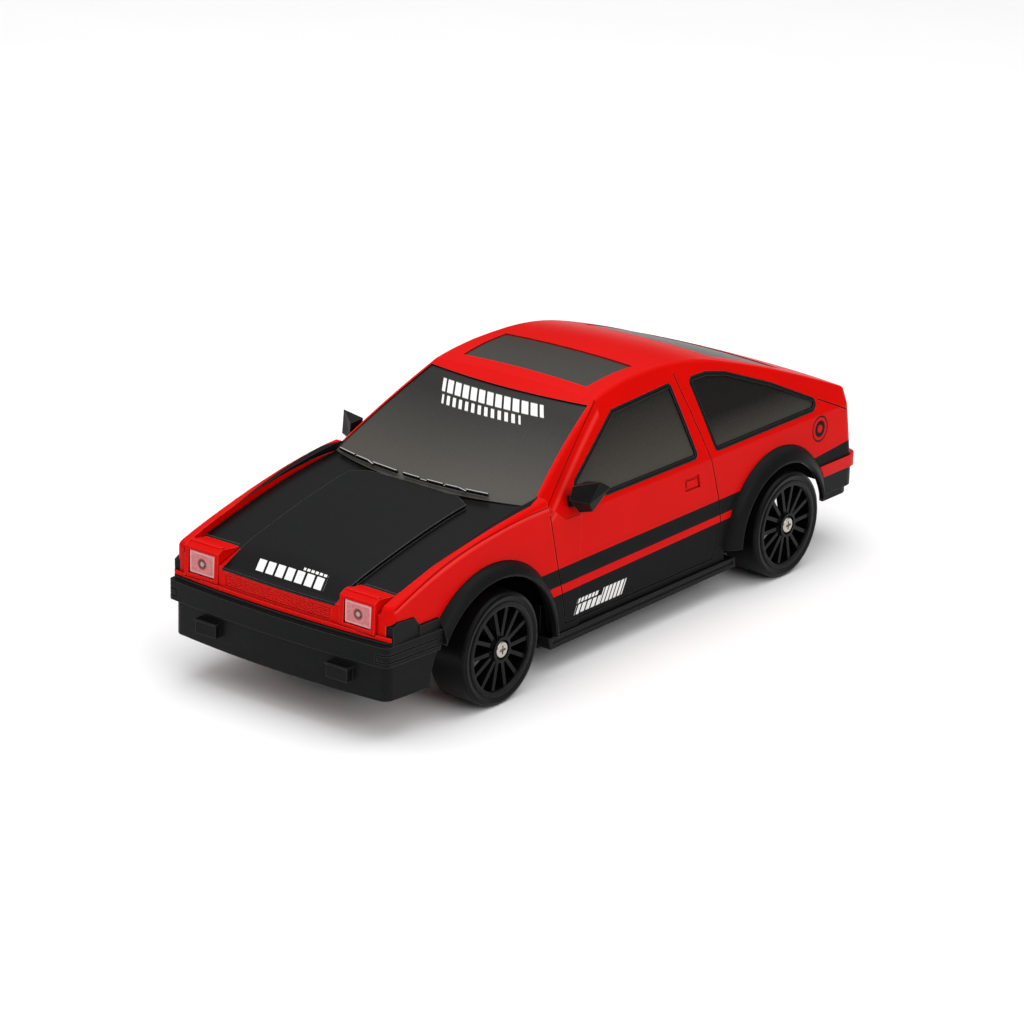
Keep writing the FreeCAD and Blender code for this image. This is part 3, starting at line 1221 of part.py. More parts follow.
def make_moving():
    save("power_switch", power_switch())
    save("motor_rotor", motor_rotor())
    save("drive_shaft", drive_shaft())
    save("rear_axle", rear_axle())
    save("front_drive", front_drive())
    save("tie_rod", tie_rod())
    save("servo_horn", servo_horn())
    stub = stub_axle()
    arm = knuckle()
    for side, name in ((1, "left"), (-1, "right")):
        save("stub_axle_" + name, stub if side > 0 else mirror_y(stub))
        save("knuckle_" + name, arm if side > 0 else mirror_y(arm))
    one_rim = rim()
    one_tyre = tyre()
    one_screw = wheel_screw()
    for end, axle_x in (("front", FRONT_AXLE_X), ("rear", REAR_AXLE_X)):
        for side, name in ((1, "left"), (-1, "right")):
            tag = "_" + end + "_" + name
            save("rim" + tag, placed(one_rim, axle_x, side))
            save("tyre" + tag, placed(one_tyre, axle_x, side))
            save("wheel_screw" + tag, placed(one_screw, axle_x, side))


if __name__ == "__main__":
    os.makedirs("parts", exist_ok=True)
    make_chassis()
    make_moving()
    make_body()
    for name, shape in NODES.items():
        shape.exportStep("parts/" + name + ".step")
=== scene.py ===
"""RC drift car: looks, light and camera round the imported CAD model.

Marks, grain, edge radii and the grille are in millimetres; lights, camera and floor are in metres.
"""
import math

import bmesh
import bpy
from mathutils import Matrix, Vector

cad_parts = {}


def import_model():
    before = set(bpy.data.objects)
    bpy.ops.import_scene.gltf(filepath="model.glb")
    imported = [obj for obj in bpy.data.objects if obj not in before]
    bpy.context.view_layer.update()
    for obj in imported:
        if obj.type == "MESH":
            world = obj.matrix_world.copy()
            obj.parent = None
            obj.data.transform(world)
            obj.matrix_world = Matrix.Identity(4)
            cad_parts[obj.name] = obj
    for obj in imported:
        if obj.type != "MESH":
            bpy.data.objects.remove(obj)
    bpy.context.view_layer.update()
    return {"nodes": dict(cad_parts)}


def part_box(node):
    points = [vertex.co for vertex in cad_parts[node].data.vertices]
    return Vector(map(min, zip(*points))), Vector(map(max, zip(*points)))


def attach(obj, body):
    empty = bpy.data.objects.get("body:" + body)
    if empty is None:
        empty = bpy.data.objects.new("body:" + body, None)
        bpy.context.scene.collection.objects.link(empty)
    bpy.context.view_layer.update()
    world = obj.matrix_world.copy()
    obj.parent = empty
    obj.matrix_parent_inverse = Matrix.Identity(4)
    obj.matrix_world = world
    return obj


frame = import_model()
NODES = frame["nodes"]
MM = 0.001
PER_METRE = 1000.0

# ---- colours, linear ------------------------------------------------------
RED = (0.66, 0.0025, 0.0010)
RED_SHADE = (0.56, 0.0020, 0.0008)
BLACK = (0.0040, 0.0043, 0.0043)
WHEEL_BLACK = (0.0018, 0.0019, 0.0019)
BLACK_WORN = (0.0078, 0.0082, 0.0082)
# Painted shade for grooves and tight corners
CREVICE_SHADE = (0.0030, 0.0022, 0.0022)
# Painted highlight on the edges of black parts
BLACK_EDGE_HIGHLIGHT = (0.075, 0.074, 0.072)
# Painted line of shade along the fender crease and the windscreen pillar
RED_SEAM_SHADE = (0.10, 0.001, 0.001)
# Painted highlight on the bonnet's edges
BONNET_EDGE_HIGHLIGHT = (0.13, 0.13, 0.128)
# Painted highlight on the wheels' edges
WHEEL_EDGE_HIGHLIGHT = (0.045, 0.045, 0.044)
# Painted highlight on red edges and beside the fender crease and the pillar line
RED_HIGHLIGHT = (0.90, 0.075, 0.06)
SMOKE_TOP = (0.010, 0.0088, 0.0080)
# Paler brown-grey at the windows' foot: a painted reflection
SMOKE_REFLECTED_LOW = (0.066, 0.061, 0.051)
STEEL = (0.56, 0.52, 0.46)
WHITE_PRINT = (0.80, 0.80, 0.79)
PAPER = (0.90, 0.90, 0.90)
PAPER_BRIGHT = (0.93, 0.93, 0.93)
# Painted highlight on the tops of the wiper bars, mottled between these two
WIPER_HIGHLIGHT_DULL = (0.30, 0.30, 0.29)
WIPER_HIGHLIGHT_BRIGHT = (0.50, 0.50, 0.48)
# Painted highlight on the wipers: the normal's Z where the lit top starts, and its softness
WIPER_HIGHLIGHT_TOP = (0.72, 0.12)
METAL_SHADE = 0.72
LENS_DARK = (0.34, 0.016, 0.016)
LENS_PALE = (0.95, 0.42, 0.42)
LENS_BORDER = (0.95, 0.50, 0.50)

# ---- surface finish, painted crevice shade and painted edge highlights; lengths in millimetres ---
GRAIN_DETAIL = 2.0
BEVEL_SAMPLES = 6
# Painted shade in grooves and tight corners, from ambient occlusion
CREVICE_SHADE_SAMPLES = 8
CREVICE_SHADE_REACH = 0.45
# Painted crevice shade and painted edge highlight: reading where the effect starts and where it is full,
# then the share of it given at each
CREVICE_SHADE_RANGE = (0.80, 0.35, 0.0, 0.9)
EDGE_HIGHLIGHT_RANGE = (0.98, 0.78, 0.0, 0.9)
# Half the width over which one colour gives way to the next
SOFT = 0.06
CRISP = 0.03
COAT_WEIGHT = 0.015
COAT_ROUGH = 0.2
PAINT_GLOSS = 0.03
RED_ROUGH = 0.34
BLACK_ROUGH = 0.42

# ---- marks and lines on the body, in millimetres ---------------------------
# Slope and offset of the height along X
BAND_TOP = (-0.0083, 22.55)
STRIP_LOW = (-0.018, 17.05)
STRIP_HIGH = (-0.0117, 18.85)
BAND_FRONT = 45.0
TAIL_START = -64.0
TAIL_RISE = 0.07
ROUND_X = -66.6
ROUND_Z = 29.6
DISC = (0.9, 1.9)
RING = (2.6, 3.0)
ROUND_Y = 25.0
# Curves: first x, second x, start, slope and bend
CREASE = (31.4, 49.8, 36.75, -0.062, -0.00423)
BONNET_SIDE = (36.24, 46.13, 27.9, -0.03, -0.0012)
PILLAR_LINE = (7.34, 18.07, 51.95, -0.666, -0.0037)
BONNET_SPAN = (31.6, 66.0)
FENDER_SPAN = (31.0, 79.0)
PILLAR_SPAN = (7.0, 30.5)
# The bonnet's black rear corner ends at this slope and offset of the width along X
CORNER = (0.34, 15.66)
OVER_CREASE = 0.1
FENDER_Y = 27.0
PILLAR_Y = 20.8
# Half widths of the painted lines of shade along the crease and the pillar
CREASE_HALF = 0.09
PILLAR_HALF = 0.13
SEAM_SHADE_SHARE = 0.85
# Highlight under each line: height over the line and softness, of its foot and of its top
CREASE_SHINE = ((-0.75, 0.3), (-0.2, 0.1))
PILLAR_SHINE = ((-2.7, 0.5), (-1.8, 0.5))
SHINE_SHARE = 0.45
BUMPER_RED_Z = 17.95
# The shell is black on its inside
INSIDE_X = (-78.0, 74.0)
INSIDE_Y = 26.8
INSIDE_Z = 27.5

# Rows of slanted blocks: start, end, low, high, pitch, share filled, slant
DOOR_ROWS = ((-21.6, -13.0, 10.6, 12.5, 1.75, 0.72, 0.45),
             (-12.9, -5.0, 10.6, 13.9, 1.35, 0.7, 0.45),
             (-20.8, -13.4, 12.9, 13.8, 1.2, 0.7, 0.45))
BONNET_ROWS = ((-8.0, 10.2, -79.2, -76.5, 2.55, 0.76, -0.43),
               (2.4, 8.8, -76.1, -75.5, 1.1, 0.7, -0.43))
BONNET_ROWS_Z = 26.0
SCREEN_ROWS = ((-12.8, 14.4, 48.75, 50.25, 2.25, 0.74, -1.6),
               (-10.2, 11.0, 47.35, 48.4, 1.75, 0.5, -1.6))

# Heights between which each smoked window turns from brown-grey to dark; the paler brown-grey foot is a
# painted reflection
DOOR_SMOKE_REFLECTION = (33.0, 52.0)
QUARTER_SMOKE_REFLECTION = (32.0, 41.0)
REAR_SMOKE_REFLECTION = (38.0, 54.0)
SUNROOF_SMOKE_REFLECTION = (46.0, 66.0)
SCREEN_SMOKE_REFLECTION = (38.0, 49.0)

# Headlight lens: middle, half size and the width of its pale border
LENS_MID_Y = 20.75
LENS_MID_Z = 25.7
LENS_HALF_Y = 3.5
LENS_HALF_Z = 2.45
LENS_BORDER_Y = 0.5
LENS_BORDER_Z = 0.45
# Discs of the lamp seen through the lens: radius, softness, colour
LAMP_DISCS = ((1.65, 0.2, (0.72, 0.22, 0.22)),
              (1.15, 0.2, (0.16, 0.02, 0.022)),
              (0.5, 0.15, (0.55, 0.40, 0.42)))

# ---- grille, in millimetres --------------------------------------------------
BRICK_ROWS = 5
BRICK_PITCH = 2.1
BRICK_HALF_DEPTH = 0.16
BRICK_HALF_WIDTH = 0.9
# Half height of a brick, as a share of the row pitch
BRICK_FILL = 0.36
BRICK_CHAMFER = 0.07
BRICK_SINK = 0.06
BRICK_BORDER = 1.0
GRILLE_BORDER = 0.15
# The panel falls back by GRILLE_BOW at GRILLE_BOW_AT from its middle
GRILLE_BOW = 1.3
GRILLE_BOW_AT = 28

# ---- light and camera -------------------------------------------------------
FLOOR_HALF = 40.0
FLOOR_DROP = 0.02 * MM
HORIZON_Z = 0.25
ZENITH_Z = 0.80
HORIZON_LIGHT = 0.08
ZENITH_LIGHT = 1.15
CAMERA_LENS = 139.736
CAMERA_SENSOR = 36.0
CAMERA_PLACE = Vector((632.2, 492.4, 306.7)) * MM
CAMERA_YAW = math.radians(218.203)
CAMERA_PITCH = math.radians(-19.653)
CAMERA_ROLL = math.radians(1.480)
# Name, place, aim, width, height and power of each soft light
SOFTBOXES = (("softbox_top", (-0.05, 0.0, 0.75), (0, 0, 0), 0.9, 0.7, 2.6),
             ("softbox_side", (0.25, 0.95, 0.55), (0, 0, 0.03), 0.7, 0.5, 3.0),
             ("softbox_front", (1.0, -0.15, 0.45), (0, 0, 0.03), 0.5, 0.4, 1.6))


class Graph:
    """Short way to build a node tree."""

    def __init__(self, name):
        self.mat = bpy.data.materials.new(name)
        self.mat.use_nodes = True
        self.tree = self.mat.node_tree
        self.tree.nodes.clear()
        out = self.node("ShaderNodeOutputMaterial")
        self.bsdf = self.node("ShaderNodeBsdfPrincipled")
        self.link(self.bsdf.outputs[0], out.inputs["Surface"])
        coord = self.node("ShaderNodeTexCoord").outputs["Object"]
        scale = self.node("ShaderNodeVectorMath", operation="SCALE")
        scale.inputs["Scale"].default_value = PER_METRE
        self.link(coord, scale.inputs[0])
        self.pos = scale.outputs[0]
        split = self.node("ShaderNodeSeparateXYZ")
        self.link(self.pos, split.inputs[0])
        self.x, self.y, self.z = split.outputs[:3]

    def node(self, kind, **props):
        made = self.tree.nodes.new(kind)
        for key, value in props.items():
            setattr(made, key, value)
        return made

    def link(self, source, target):
        self.tree.links.new(source, target)

    def put(self, target, value):
        if isinstance(value, bpy.types.NodeSocket):
            self.link(value, target)
        else:
            target.default_value = value

    def calc(self, operation, *values):
        made = self.node("ShaderNodeMath", operation=operation)
        for target, value in zip(made.inputs, values):
            self.put(target, value)
        return made.outputs[0]

    def line(self, slope, offset):
        """slope * x + offset, in millimetres."""
        return self.calc("MULTIPLY_ADD", self.x, slope, offset)

    def curve(self, x0, x1, start, slope, bend):
        """start + slope * (x - x0) + bend * (x - x0) * (x - x1), in millimetres."""
        near = self.line(1.0, -x0)
        bowed = self.calc("MULTIPLY", self.calc("MULTIPLY", near, self.line(1.0, -x1)), bend)
        return self.calc("ADD", self.calc("MULTIPLY_ADD", near, slope, start), bowed)

    def distance(self, across, up):
        squares = self.calc("ADD", self.calc("MULTIPLY", across, across), self.calc("MULTIPLY", up, up))
        return self.calc("SQRT", squares)

    def clamp(self, value):
        made = self.node("ShaderNodeClamp")
        self.link(value, made.inputs[0])
        return made.outputs[0]

    def above(self, value, limit, soft=SOFT):
        """0 below the limit and 1 above it; the change is 2 * soft wide."""
        gap = self.calc("SUBTRACT", value, limit)
        return self.clamp(self.calc("MULTIPLY_ADD", gap, 0.5 / soft, 0.5))

    def below(self, value, limit, soft=SOFT):
        return self.calc("SUBTRACT", 1.0, self.above(value, limit, soft))

    def both(self, *masks):
        result = masks[0]
        for mask in masks[1:]:
            result = self.calc("MULTIPLY", result, mask)
        return result

    def either(self, *masks):
        result = masks[0]
        for mask in masks[1:]:
            result = self.calc("MAXIMUM", result, mask)
        return result

    def between(self, value, low, high):
        return self.both(self.above(value, low), self.below(value, high))

    def noise(self, scale, detail=3.0, rough=0.55):
        """Noise over the object; scale is in features per millimetre."""
        made = self.node("ShaderNodeTexNoise")
        self.link(self.pos, made.inputs["Vector"])
        made.inputs["Scale"].default_value = scale
        made.inputs["Detail"].default_value = detail
        made.inputs["Roughness"].default_value = rough
        return made.outputs["Fac"]

    def mix(self, factor, first, second):
        made = self.node("ShaderNodeMix", data_type="RGBA")
        self.put(made.inputs[0], factor)
        for target, value in ((made.inputs[6], first), (made.inputs[7], second)):
            self.put(target, value if isinstance(value, bpy.types.NodeSocket) else (*value, 1.0))
        return made.outputs[2]

    def span(self, value, low, high):
        """A value of 0 to 1 stretched to low..high."""
        return self.calc("MULTIPLY_ADD", value, high - low, low)

    def map_range(self, value, limits):
        """limits: the span read from value, then the span given back."""
        made = self.node("ShaderNodeMapRange")
        for target, limit in zip(made.inputs[1:5], limits):
            target.default_value = limit
        self.link(value, made.inputs[0])
        return made.outputs[0]

    def painted_crevice_shade(self):
        """Mask for painted shade: near 1 deep in a groove or a tight corner, 0 on open surface."""
        sheltered = self.node("ShaderNodeAmbientOcclusion", samples=CREVICE_SHADE_SAMPLES)
        sheltered.inputs["Distance"].default_value = CREVICE_SHADE_REACH * MM
        return self.map_range(sheltered.outputs["AO"], CREVICE_SHADE_RANGE)

    def painted_edge_highlight(self, rounded):
        """Mask for painted highlights: near 1 where the rounded normal turns away from the flat one, 0 on
        open surface.
        """
        turn = self.node("ShaderNodeVectorMath", operation="DOT_PRODUCT")
        self.link(rounded, turn.inputs[0])
        self.link(self.node("ShaderNodeNewGeometry").outputs["Normal"], turn.inputs[1])
        return self.map_range(turn.outputs["Value"], EDGE_HIGHLIGHT_RANGE)

    def surface(self, colour, roughness, grain=0.0, grain_scale=2.0, edge=0.2, gloss=0.07, rim=None):
        """Rounded edges and a fine moulded grain; where rim is given, also painted highlights on the
        edges and painted shade in grooves and tight corners.
        """
        self.bsdf.inputs["Specular IOR Level"].default_value = gloss
        bevel = self.node("ShaderNodeBevel", samples=BEVEL_SAMPLES)
        bevel.inputs["Radius"].default_value = edge * MM
        if rim:
            # Painted highlight on the edges, then painted shade in grooves and tight corners
            colour = self.mix(self.painted_edge_highlight(bevel.outputs[0]), colour, rim)
            colour = self.mix(self.painted_crevice_shade(), colour, CREVICE_SHADE)
        self.put(self.bsdf.inputs["Base Color"], colour)
        self.put(self.bsdf.inputs["Roughness"], roughness)
        bump = self.node("ShaderNodeBump")
        bump.inputs["Strength"].default_value = 1.0
        bump.inputs["Distance"].default_value = grain * MM
        self.link(self.noise(grain_scale, GRAIN_DETAIL), bump.inputs["Height"])
        self.link(bevel.outputs[0], bump.inputs["Normal"])
        self.link(bump.outputs[0], self.bsdf.inputs["Normal"])
        return self.mat

    def clear_coat(self):
        self.bsdf.inputs["Coat Weight"].default_value = COAT_WEIGHT
        self.bsdf.inputs["Coat Roughness"].default_value = COAT_ROUGH


def red_paint(g):
    return g.mix(g.noise(0.05, 2.0), RED, RED_SHADE)


def black_plastic(g):
    return g.mix(g.noise(0.6, 4.0, 0.65), BLACK, BLACK_WORN)


def slanted_row(g, along, up, start, end, low, high, pitch, fill, slant):
    lean = g.calc("ADD", g.calc("MULTIPLY_ADD", up, -slant, along), slant * low)
    part = g.calc("FRACT", g.calc("DIVIDE", lean, pitch))
    blocks = g.below(part, fill, CRISP)
    return g.both(g.between(lean, start, end), g.between(up, low, high), blocks)


def slanted_blocks(g, along, up, rows):
    """Rows of plain slanted blocks: a stand-in for printed words that says nothing."""
    return g.either(*[slanted_row(g, along, up, *row) for row in rows])


def two_tone(g):
    """Black lower band with a red strip in it; the band rises a little round the tail."""
    behind = g.calc("MAXIMUM", g.calc("SUBTRACT", TAIL_START, g.x), 0.0)
    band_top = g.calc("MULTIPLY_ADD", behind, TAIL_RISE, g.line(*BAND_TOP))
    lower = g.both(g.below(g.z, band_top), g.below(g.x, BAND_FRONT))
    strip = g.both(g.above(g.z, g.line(*STRIP_LOW)), g.below(g.z, g.line(*STRIP_HIGH)))
    return g.both(lower, g.calc("SUBTRACT", 1.0, strip))


def round_mark(g):
    """Plain ring and disc behind the quarter window."""
    dx = g.calc("SUBTRACT", g.x, ROUND_X)
    dz = g.calc("SUBTRACT", g.z, ROUND_Z)
    radius = g.distance(dx, dz)
    side = g.above(g.calc("ABSOLUTE", g.y), ROUND_Y)
    return g.both(side, g.either(g.between(radius, *RING), g.between(radius, *DISC)))


def shine_band(g, over_line, foot, top):
    return g.both(g.above(over_line, *foot), g.below(over_line, *top))


def body_material():
    """Red over black, with painted lines of shade along the fender crease and the windscreen pillar, and
    painted highlights beside them.
    """
    g = Graph("body_paint")
    wide = g.calc("ABSOLUTE", g.y)
    over_crease = g.calc("SUBTRACT", g.z, g.curve(*CREASE))
    over_pillar = g.calc("SUBTRACT", g.z, g.curve(*PILLAR_LINE))
    beside_bonnet = g.both(g.above(over_crease, OVER_CREASE), g.below(wide, g.curve(*BONNET_SIDE)),
                           g.below(wide, g.line(*CORNER)), g.between(g.x, *BONNET_SPAN))
    inside = g.both(g.between(g.x, *INSIDE_X), g.below(wide, INSIDE_Y), g.below(g.z, INSIDE_Z))
    black = g.either(two_tone(g), round_mark(g), beside_bonnet, inside)
    fender = g.both(g.between(g.x, *FENDER_SPAN), g.above(wide, FENDER_Y))
    pillar = g.both(g.between(g.x, *PILLAR_SPAN), g.above(wide, PILLAR_Y))
    # Painted dark lines of shade along the fender crease and the pillar line
    seam_shade = g.either(g.both(fender, g.between(over_crease, -CREASE_HALF, CREASE_HALF)),
                    g.both(pillar, g.between(over_pillar, -PILLAR_HALF, PILLAR_HALF)))
    # Painted highlights beside the crease and the pillar line
    shine = g.either(g.both(fender, shine_band(g, over_crease, *CREASE_SHINE)),
                     g.both(pillar, shine_band(g, over_pillar, *PILLAR_SHINE)))
    rearward = g.calc("MULTIPLY", g.x, -1.0)
    white = g.both(g.above(wide, FENDER_Y), slanted_blocks(g, rearward, g.z, DOOR_ROWS))
    red = g.mix(g.calc("MULTIPLY", shine, SHINE_SHARE), red_paint(g), RED_HIGHLIGHT)
    red = g.mix(g.calc("MULTIPLY", seam_shade, SEAM_SHADE_SHARE), red, RED_SEAM_SHADE)
    colour = g.mix(white, g.mix(black, red, black_plastic(g)), WHITE_PRINT)
    g.clear_coat()
    # Colour of the painted edge highlights, red or black with the paint
    rim = g.mix(black, RED_HIGHLIGHT, BLACK_EDGE_HIGHLIGHT)
    rough = g.span(black, RED_ROUGH, BLACK_ROUGH)
    return g.surface(colour, rough, grain=0.012, grain_scale=1.2, edge=0.2, gloss=PAINT_GLOSS, rim=rim)


def rear_bumper_material():
    g = Graph("rear_bumper_paint")
    top = g.above(g.z, BUMPER_RED_Z)
    # Colour of the painted edge highlights, black below and red on top
    rim = g.mix(top, BLACK_EDGE_HIGHLIGHT, RED_HIGHLIGHT)
    colour = g.mix(top, black_plastic(g), red_paint(g))
    rough = g.span(top, BLACK_ROUGH, RED_ROUGH)
    return g.surface(colour, rough, grain=0.012, grain_scale=1.2, edge=0.2, rim=rim)


def bonnet_material():
    g = Graph("bonnet_satin")
    rearward = g.calc("MULTIPLY", g.x, -1.0)
    white = g.both(slanted_blocks(g, g.y, rearward, BONNET_ROWS), g.above(g.z, BONNET_ROWS_Z))
    black = g.mix(g.noise(0.6, 4.0, 0.65), WHEEL_BLACK, BLACK)
    colour = g.mix(white, black, WHITE_PRINT)
    rough = g.span(g.noise(0.8), 0.30, 0.38)
    # Painted highlights on the bonnet's edges and painted shade in its grooves
    return g.surface(colour, rough, grain=0.015, grain_scale=1.6, edge=0.35, rim=BONNET_EDGE_HIGHLIGHT)


def black_material(name, low, high, grain):
    g = Graph(name)
    rough = g.span(g.noise(0.7), low, high)
    # Painted highlights on the edges and painted shade in grooves
    return g.surface(black_plastic(g), rough, grain, grain_scale=1.8, edge=0.25, rim=BLACK_EDGE_HIGHLIGHT)


def red_material(name):
    g = Graph(name)
    g.clear_coat()
    rough = g.span(g.noise(0.4), 0.30, 0.38)
    # Painted highlights on the edges and painted shade in grooves
    return g.surface(red_paint(g), rough, grain=0.01, grain_scale=1.2, edge=0.25, gloss=PAINT_GLOSS,
                     rim=RED_HIGHLIGHT)


def smoke_with_painted_reflection(g, low, high):
    """Smoked printing, finely mottled, with a painted reflection: darker at the top, paler and brown-grey
    towards the foot.
    """
    reflected_share = g.map_range(g.z, (low, high, 1.0, 0.0))
    speckle = g.span(g.noise(2.2, 4.0, 0.7), -0.25, 0.25)
    return g.mix(g.clamp(g.calc("ADD", reflected_share, speckle)), SMOKE_TOP, SMOKE_REFLECTED_LOW)


def window_material(name, smoke):
    g = Graph(name)
    rough = g.span(g.noise(1.0), 0.26, 0.34)
    return g.surface(smoke_with_painted_reflection(g, *smoke), rough, grain=0.004, grain_scale=2.5, edge=0.15, gloss=0.10)


def screen_material():
    g = Graph("windscreen_smoke")
    white = slanted_blocks(g, g.y, g.z, SCREEN_ROWS)
    colour = g.mix(white, smoke_with_painted_reflection(g, *SCREEN_SMOKE_REFLECTION), WHITE_PRINT)
    rough = g.span(g.noise(1.0), 0.28, 0.36)
    return g.surface(colour, rough, grain=0.004, grain_scale=2.5, edge=0.15, gloss=0.16)


def metal_material(name, colour, low, high):
    g = Graph(name)
    g.bsdf.inputs["Metallic"].default_value = 1.0
    shade = tuple(value * METAL_SHADE for value in colour)
    tone = g.mix(g.noise(1.5, 4.0), colour, shade)
    return g.surface(tone, g.span(g.noise(3.0), low, high), grain=0.008, grain_scale=6.0, edge=0.12)


def wiper_material():
    """Painted highlight on the top of each bar, where light falls, and dark plastic at its sides."""
    g = Graph("wiper_top_highlight")
    facing = g.node("ShaderNodeSeparateXYZ")
    g.link(g.node("ShaderNodeNewGeometry").outputs["Normal"], facing.inputs[0])
    top_highlight = g.mix(g.noise(0.4, 3.0), WIPER_HIGHLIGHT_DULL, WIPER_HIGHLIGHT_BRIGHT)
    lit_top = g.above(facing.outputs[2], *WIPER_HIGHLIGHT_TOP)
    return g.surface(g.mix(lit_top, BLACK, top_highlight), 0.3, grain=0.01, grain_scale=2.0, edge=0.05)


def lens_material():
    """Lens with a pale border, a mottled pink body and the rings of the lamp in the middle."""
    g = Graph("lens_clear")
    g.bsdf.inputs["Alpha"].default_value = 0.82
    g.bsdf.inputs["IOR"].default_value = 1.49
    across = g.calc("SUBTRACT", g.calc("ABSOLUTE", g.y), LENS_MID_Y)
    up = g.calc("SUBTRACT", g.z, LENS_MID_Z)
    radius = g.distance(across, up)
    border = g.either(g.above(g.calc("ABSOLUTE", across), LENS_HALF_Y - LENS_BORDER_Y, 0.15),
                      g.above(g.calc("ABSOLUTE", up), LENS_HALF_Z - LENS_BORDER_Z, 0.15))
    colour = g.mix(g.noise(1.3, 4.0, 0.7), LENS_DARK, LENS_PALE)
    for limit, soft, tone in LAMP_DISCS:
        colour = g.mix(g.below(radius, limit, soft), colour, tone)
    colour = g.mix(border, colour, LENS_BORDER)
    return g.surface(colour, 0.08, grain=0.02, grain_scale=1.0, edge=0.25, gloss=0.3)


def tinted_material(name, first, second, roughness, scale=1.0):
    g = Graph(name)
    return g.surface(g.mix(g.noise(scale), first, second), roughness, grain=0.01, edge=0.15)


def gloss_black_material(name, low, high, grain, edge):
    """Bare moulded plastic of the wheels: darker and shinier than the painted trim."""
    g = Graph(name)
    colour = g.mix(g.noise(0.9, 5.0, 0.7), WHEEL_BLACK, BLACK)
    rough = g.span(g.noise(1.0), low, high)
    # Painted highlights on the edges and painted shade in grooves
    return g.surface(colour, rough, grain, grain_scale=2.2, edge=edge, gloss=0.09, rim=WHEEL_EDGE_HIGHLIGHT)


# ---- give every CAD node its material ------------------------------------
def dress(material, *names):
    for name in names:
        node = NODES[name]
        node.data.materials.clear()
        node.data.materials.append(material)
        node.data.polygons.foreach_set("material_index", [0] * len(node.data.polygons))


SIDES = ("left", "right")
WHEELS = [end + "_" + side for end in ("front", "rear") for side in SIDES]

TRIM = black_material("trim_satin", 0.34, 0.46, 0.015)
UNDER = black_material("chassis_plastic", 0.45, 0.6, 0.03)
RIM = gloss_black_material("rim_plastic", 0.16, 0.24, 0.006, 0.15)
TYRE = gloss_black_material("tyre_plastic", 0.26, 0.38, 0.015, 0.25)
RED_TRIM = red_material("red_trim")
SCREW = metal_material("screw_steel", STEEL, 0.22, 0.34)
SHAFT = metal_material("shaft_steel", (0.5, 0.5, 0.5), 0.28, 0.42)

dress(body_material(), "body_shell")
dress(bonnet_material(), "bonnet_panel")
dress(rear_bumper_material(), "rear_bumper")
dress(TRIM, "front_bumper", "side_skirts", "door_window_surrounds", "quarter_window_surrounds",
      *["arch_" + wheel for wheel in WHEELS], *["door_mirror_" + side for side in SIDES])
dress(RED_TRIM, "headlight_boxes", "grille_panel")
dress(screen_material(), "windscreen")
dress(window_material("door_window_smoke", DOOR_SMOKE_REFLECTION), "door_window_panes")
dress(window_material("quarter_window_smoke", QUARTER_SMOKE_REFLECTION), "quarter_window_panes")
dress(window_material("rear_window_smoke", REAR_SMOKE_REFLECTION), "rear_window")
dress(window_material("sunroof_smoke", SUNROOF_SMOKE_REFLECTION), "sunroof_panel")
dress(lens_material(), "headlight_lenses")
dress(tinted_material("lamp_dome", (0.10, 0.06, 0.07), (0.32, 0.24, 0.26), 0.15), "headlight_lamps")
dress(tinted_material("tail_lens", (0.15, 0.005, 0.004), (0.24, 0.012, 0.009), 0.18), "tail_lamps")
dress(wiper_material(), "wipers")
dress(UNDER, "chassis_tub", "battery_door", "servo_case", "gearbox_front", "gearbox_rear", "switch_case",
      "power_switch", "servo_horn", "tie_rod", *["knuckle_" + side for side in SIDES])
dress(tinted_material("cell_wrap", (0.03, 0.10, 0.22), (0.04, 0.13, 0.28), 0.3, 0.4), "battery_cells")
dress(tinted_material("board_resist", (0.01, 0.10, 0.04), (0.02, 0.16, 0.06), 0.4), "circuit_board")
dress(SHAFT, "motor_can", "drive_shaft", "motor_rotor", "front_drive", "rear_axle",
      *["stub_axle_" + side for side in SIDES])
dress(tinted_material("magnet_ferrite", (0.03, 0.03, 0.03), (0.06, 0.06, 0.06), 0.7), "motor_magnets")
dress(SCREW, "shell_screws", "battery_door_screw", *["wheel_screw_" + wheel for wheel in WHEELS])
dress(TYRE, *["tyre_" + wheel for wheel in WHEELS])
dress(RIM, *["rim_" + wheel for wheel in WHEELS])


# ---- extra pieces ---------------------------------------------------------
def new_piece(name, mesh_builder, material, body):
    mesh = bpy.data.meshes.new(name)
    made = bmesh.new()
    mesh_builder(made)
    bmesh.ops.recalc_face_normals(made, faces=made.faces)
    made.to_mesh(mesh)
    made.free()
    piece = bpy.data.objects.new(name, mesh)
    bpy.context.scene.collection.objects.link(piece)
    mesh.materials.append(material)
    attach(piece, body)


def brick(made, centre, half, bevel):
    """A box with chamfered edges, added to a bmesh; all in metres."""
    corners = bmesh.ops.create_cube(made, size=1.0)["verts"]
    bmesh.ops.scale(made, vec=[2 * value for value in half], verts=corners)
    bmesh.ops.translate(made, vec=centre, verts=corners)
    edges = {edge for vert in corners for edge in vert.link_edges}
    bmesh.ops.bevel(made, geom=list(edges), offset=bevel, segments=1, affect="EDGES")


GRILLE_LOW, GRILLE_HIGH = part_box("grille_panel")


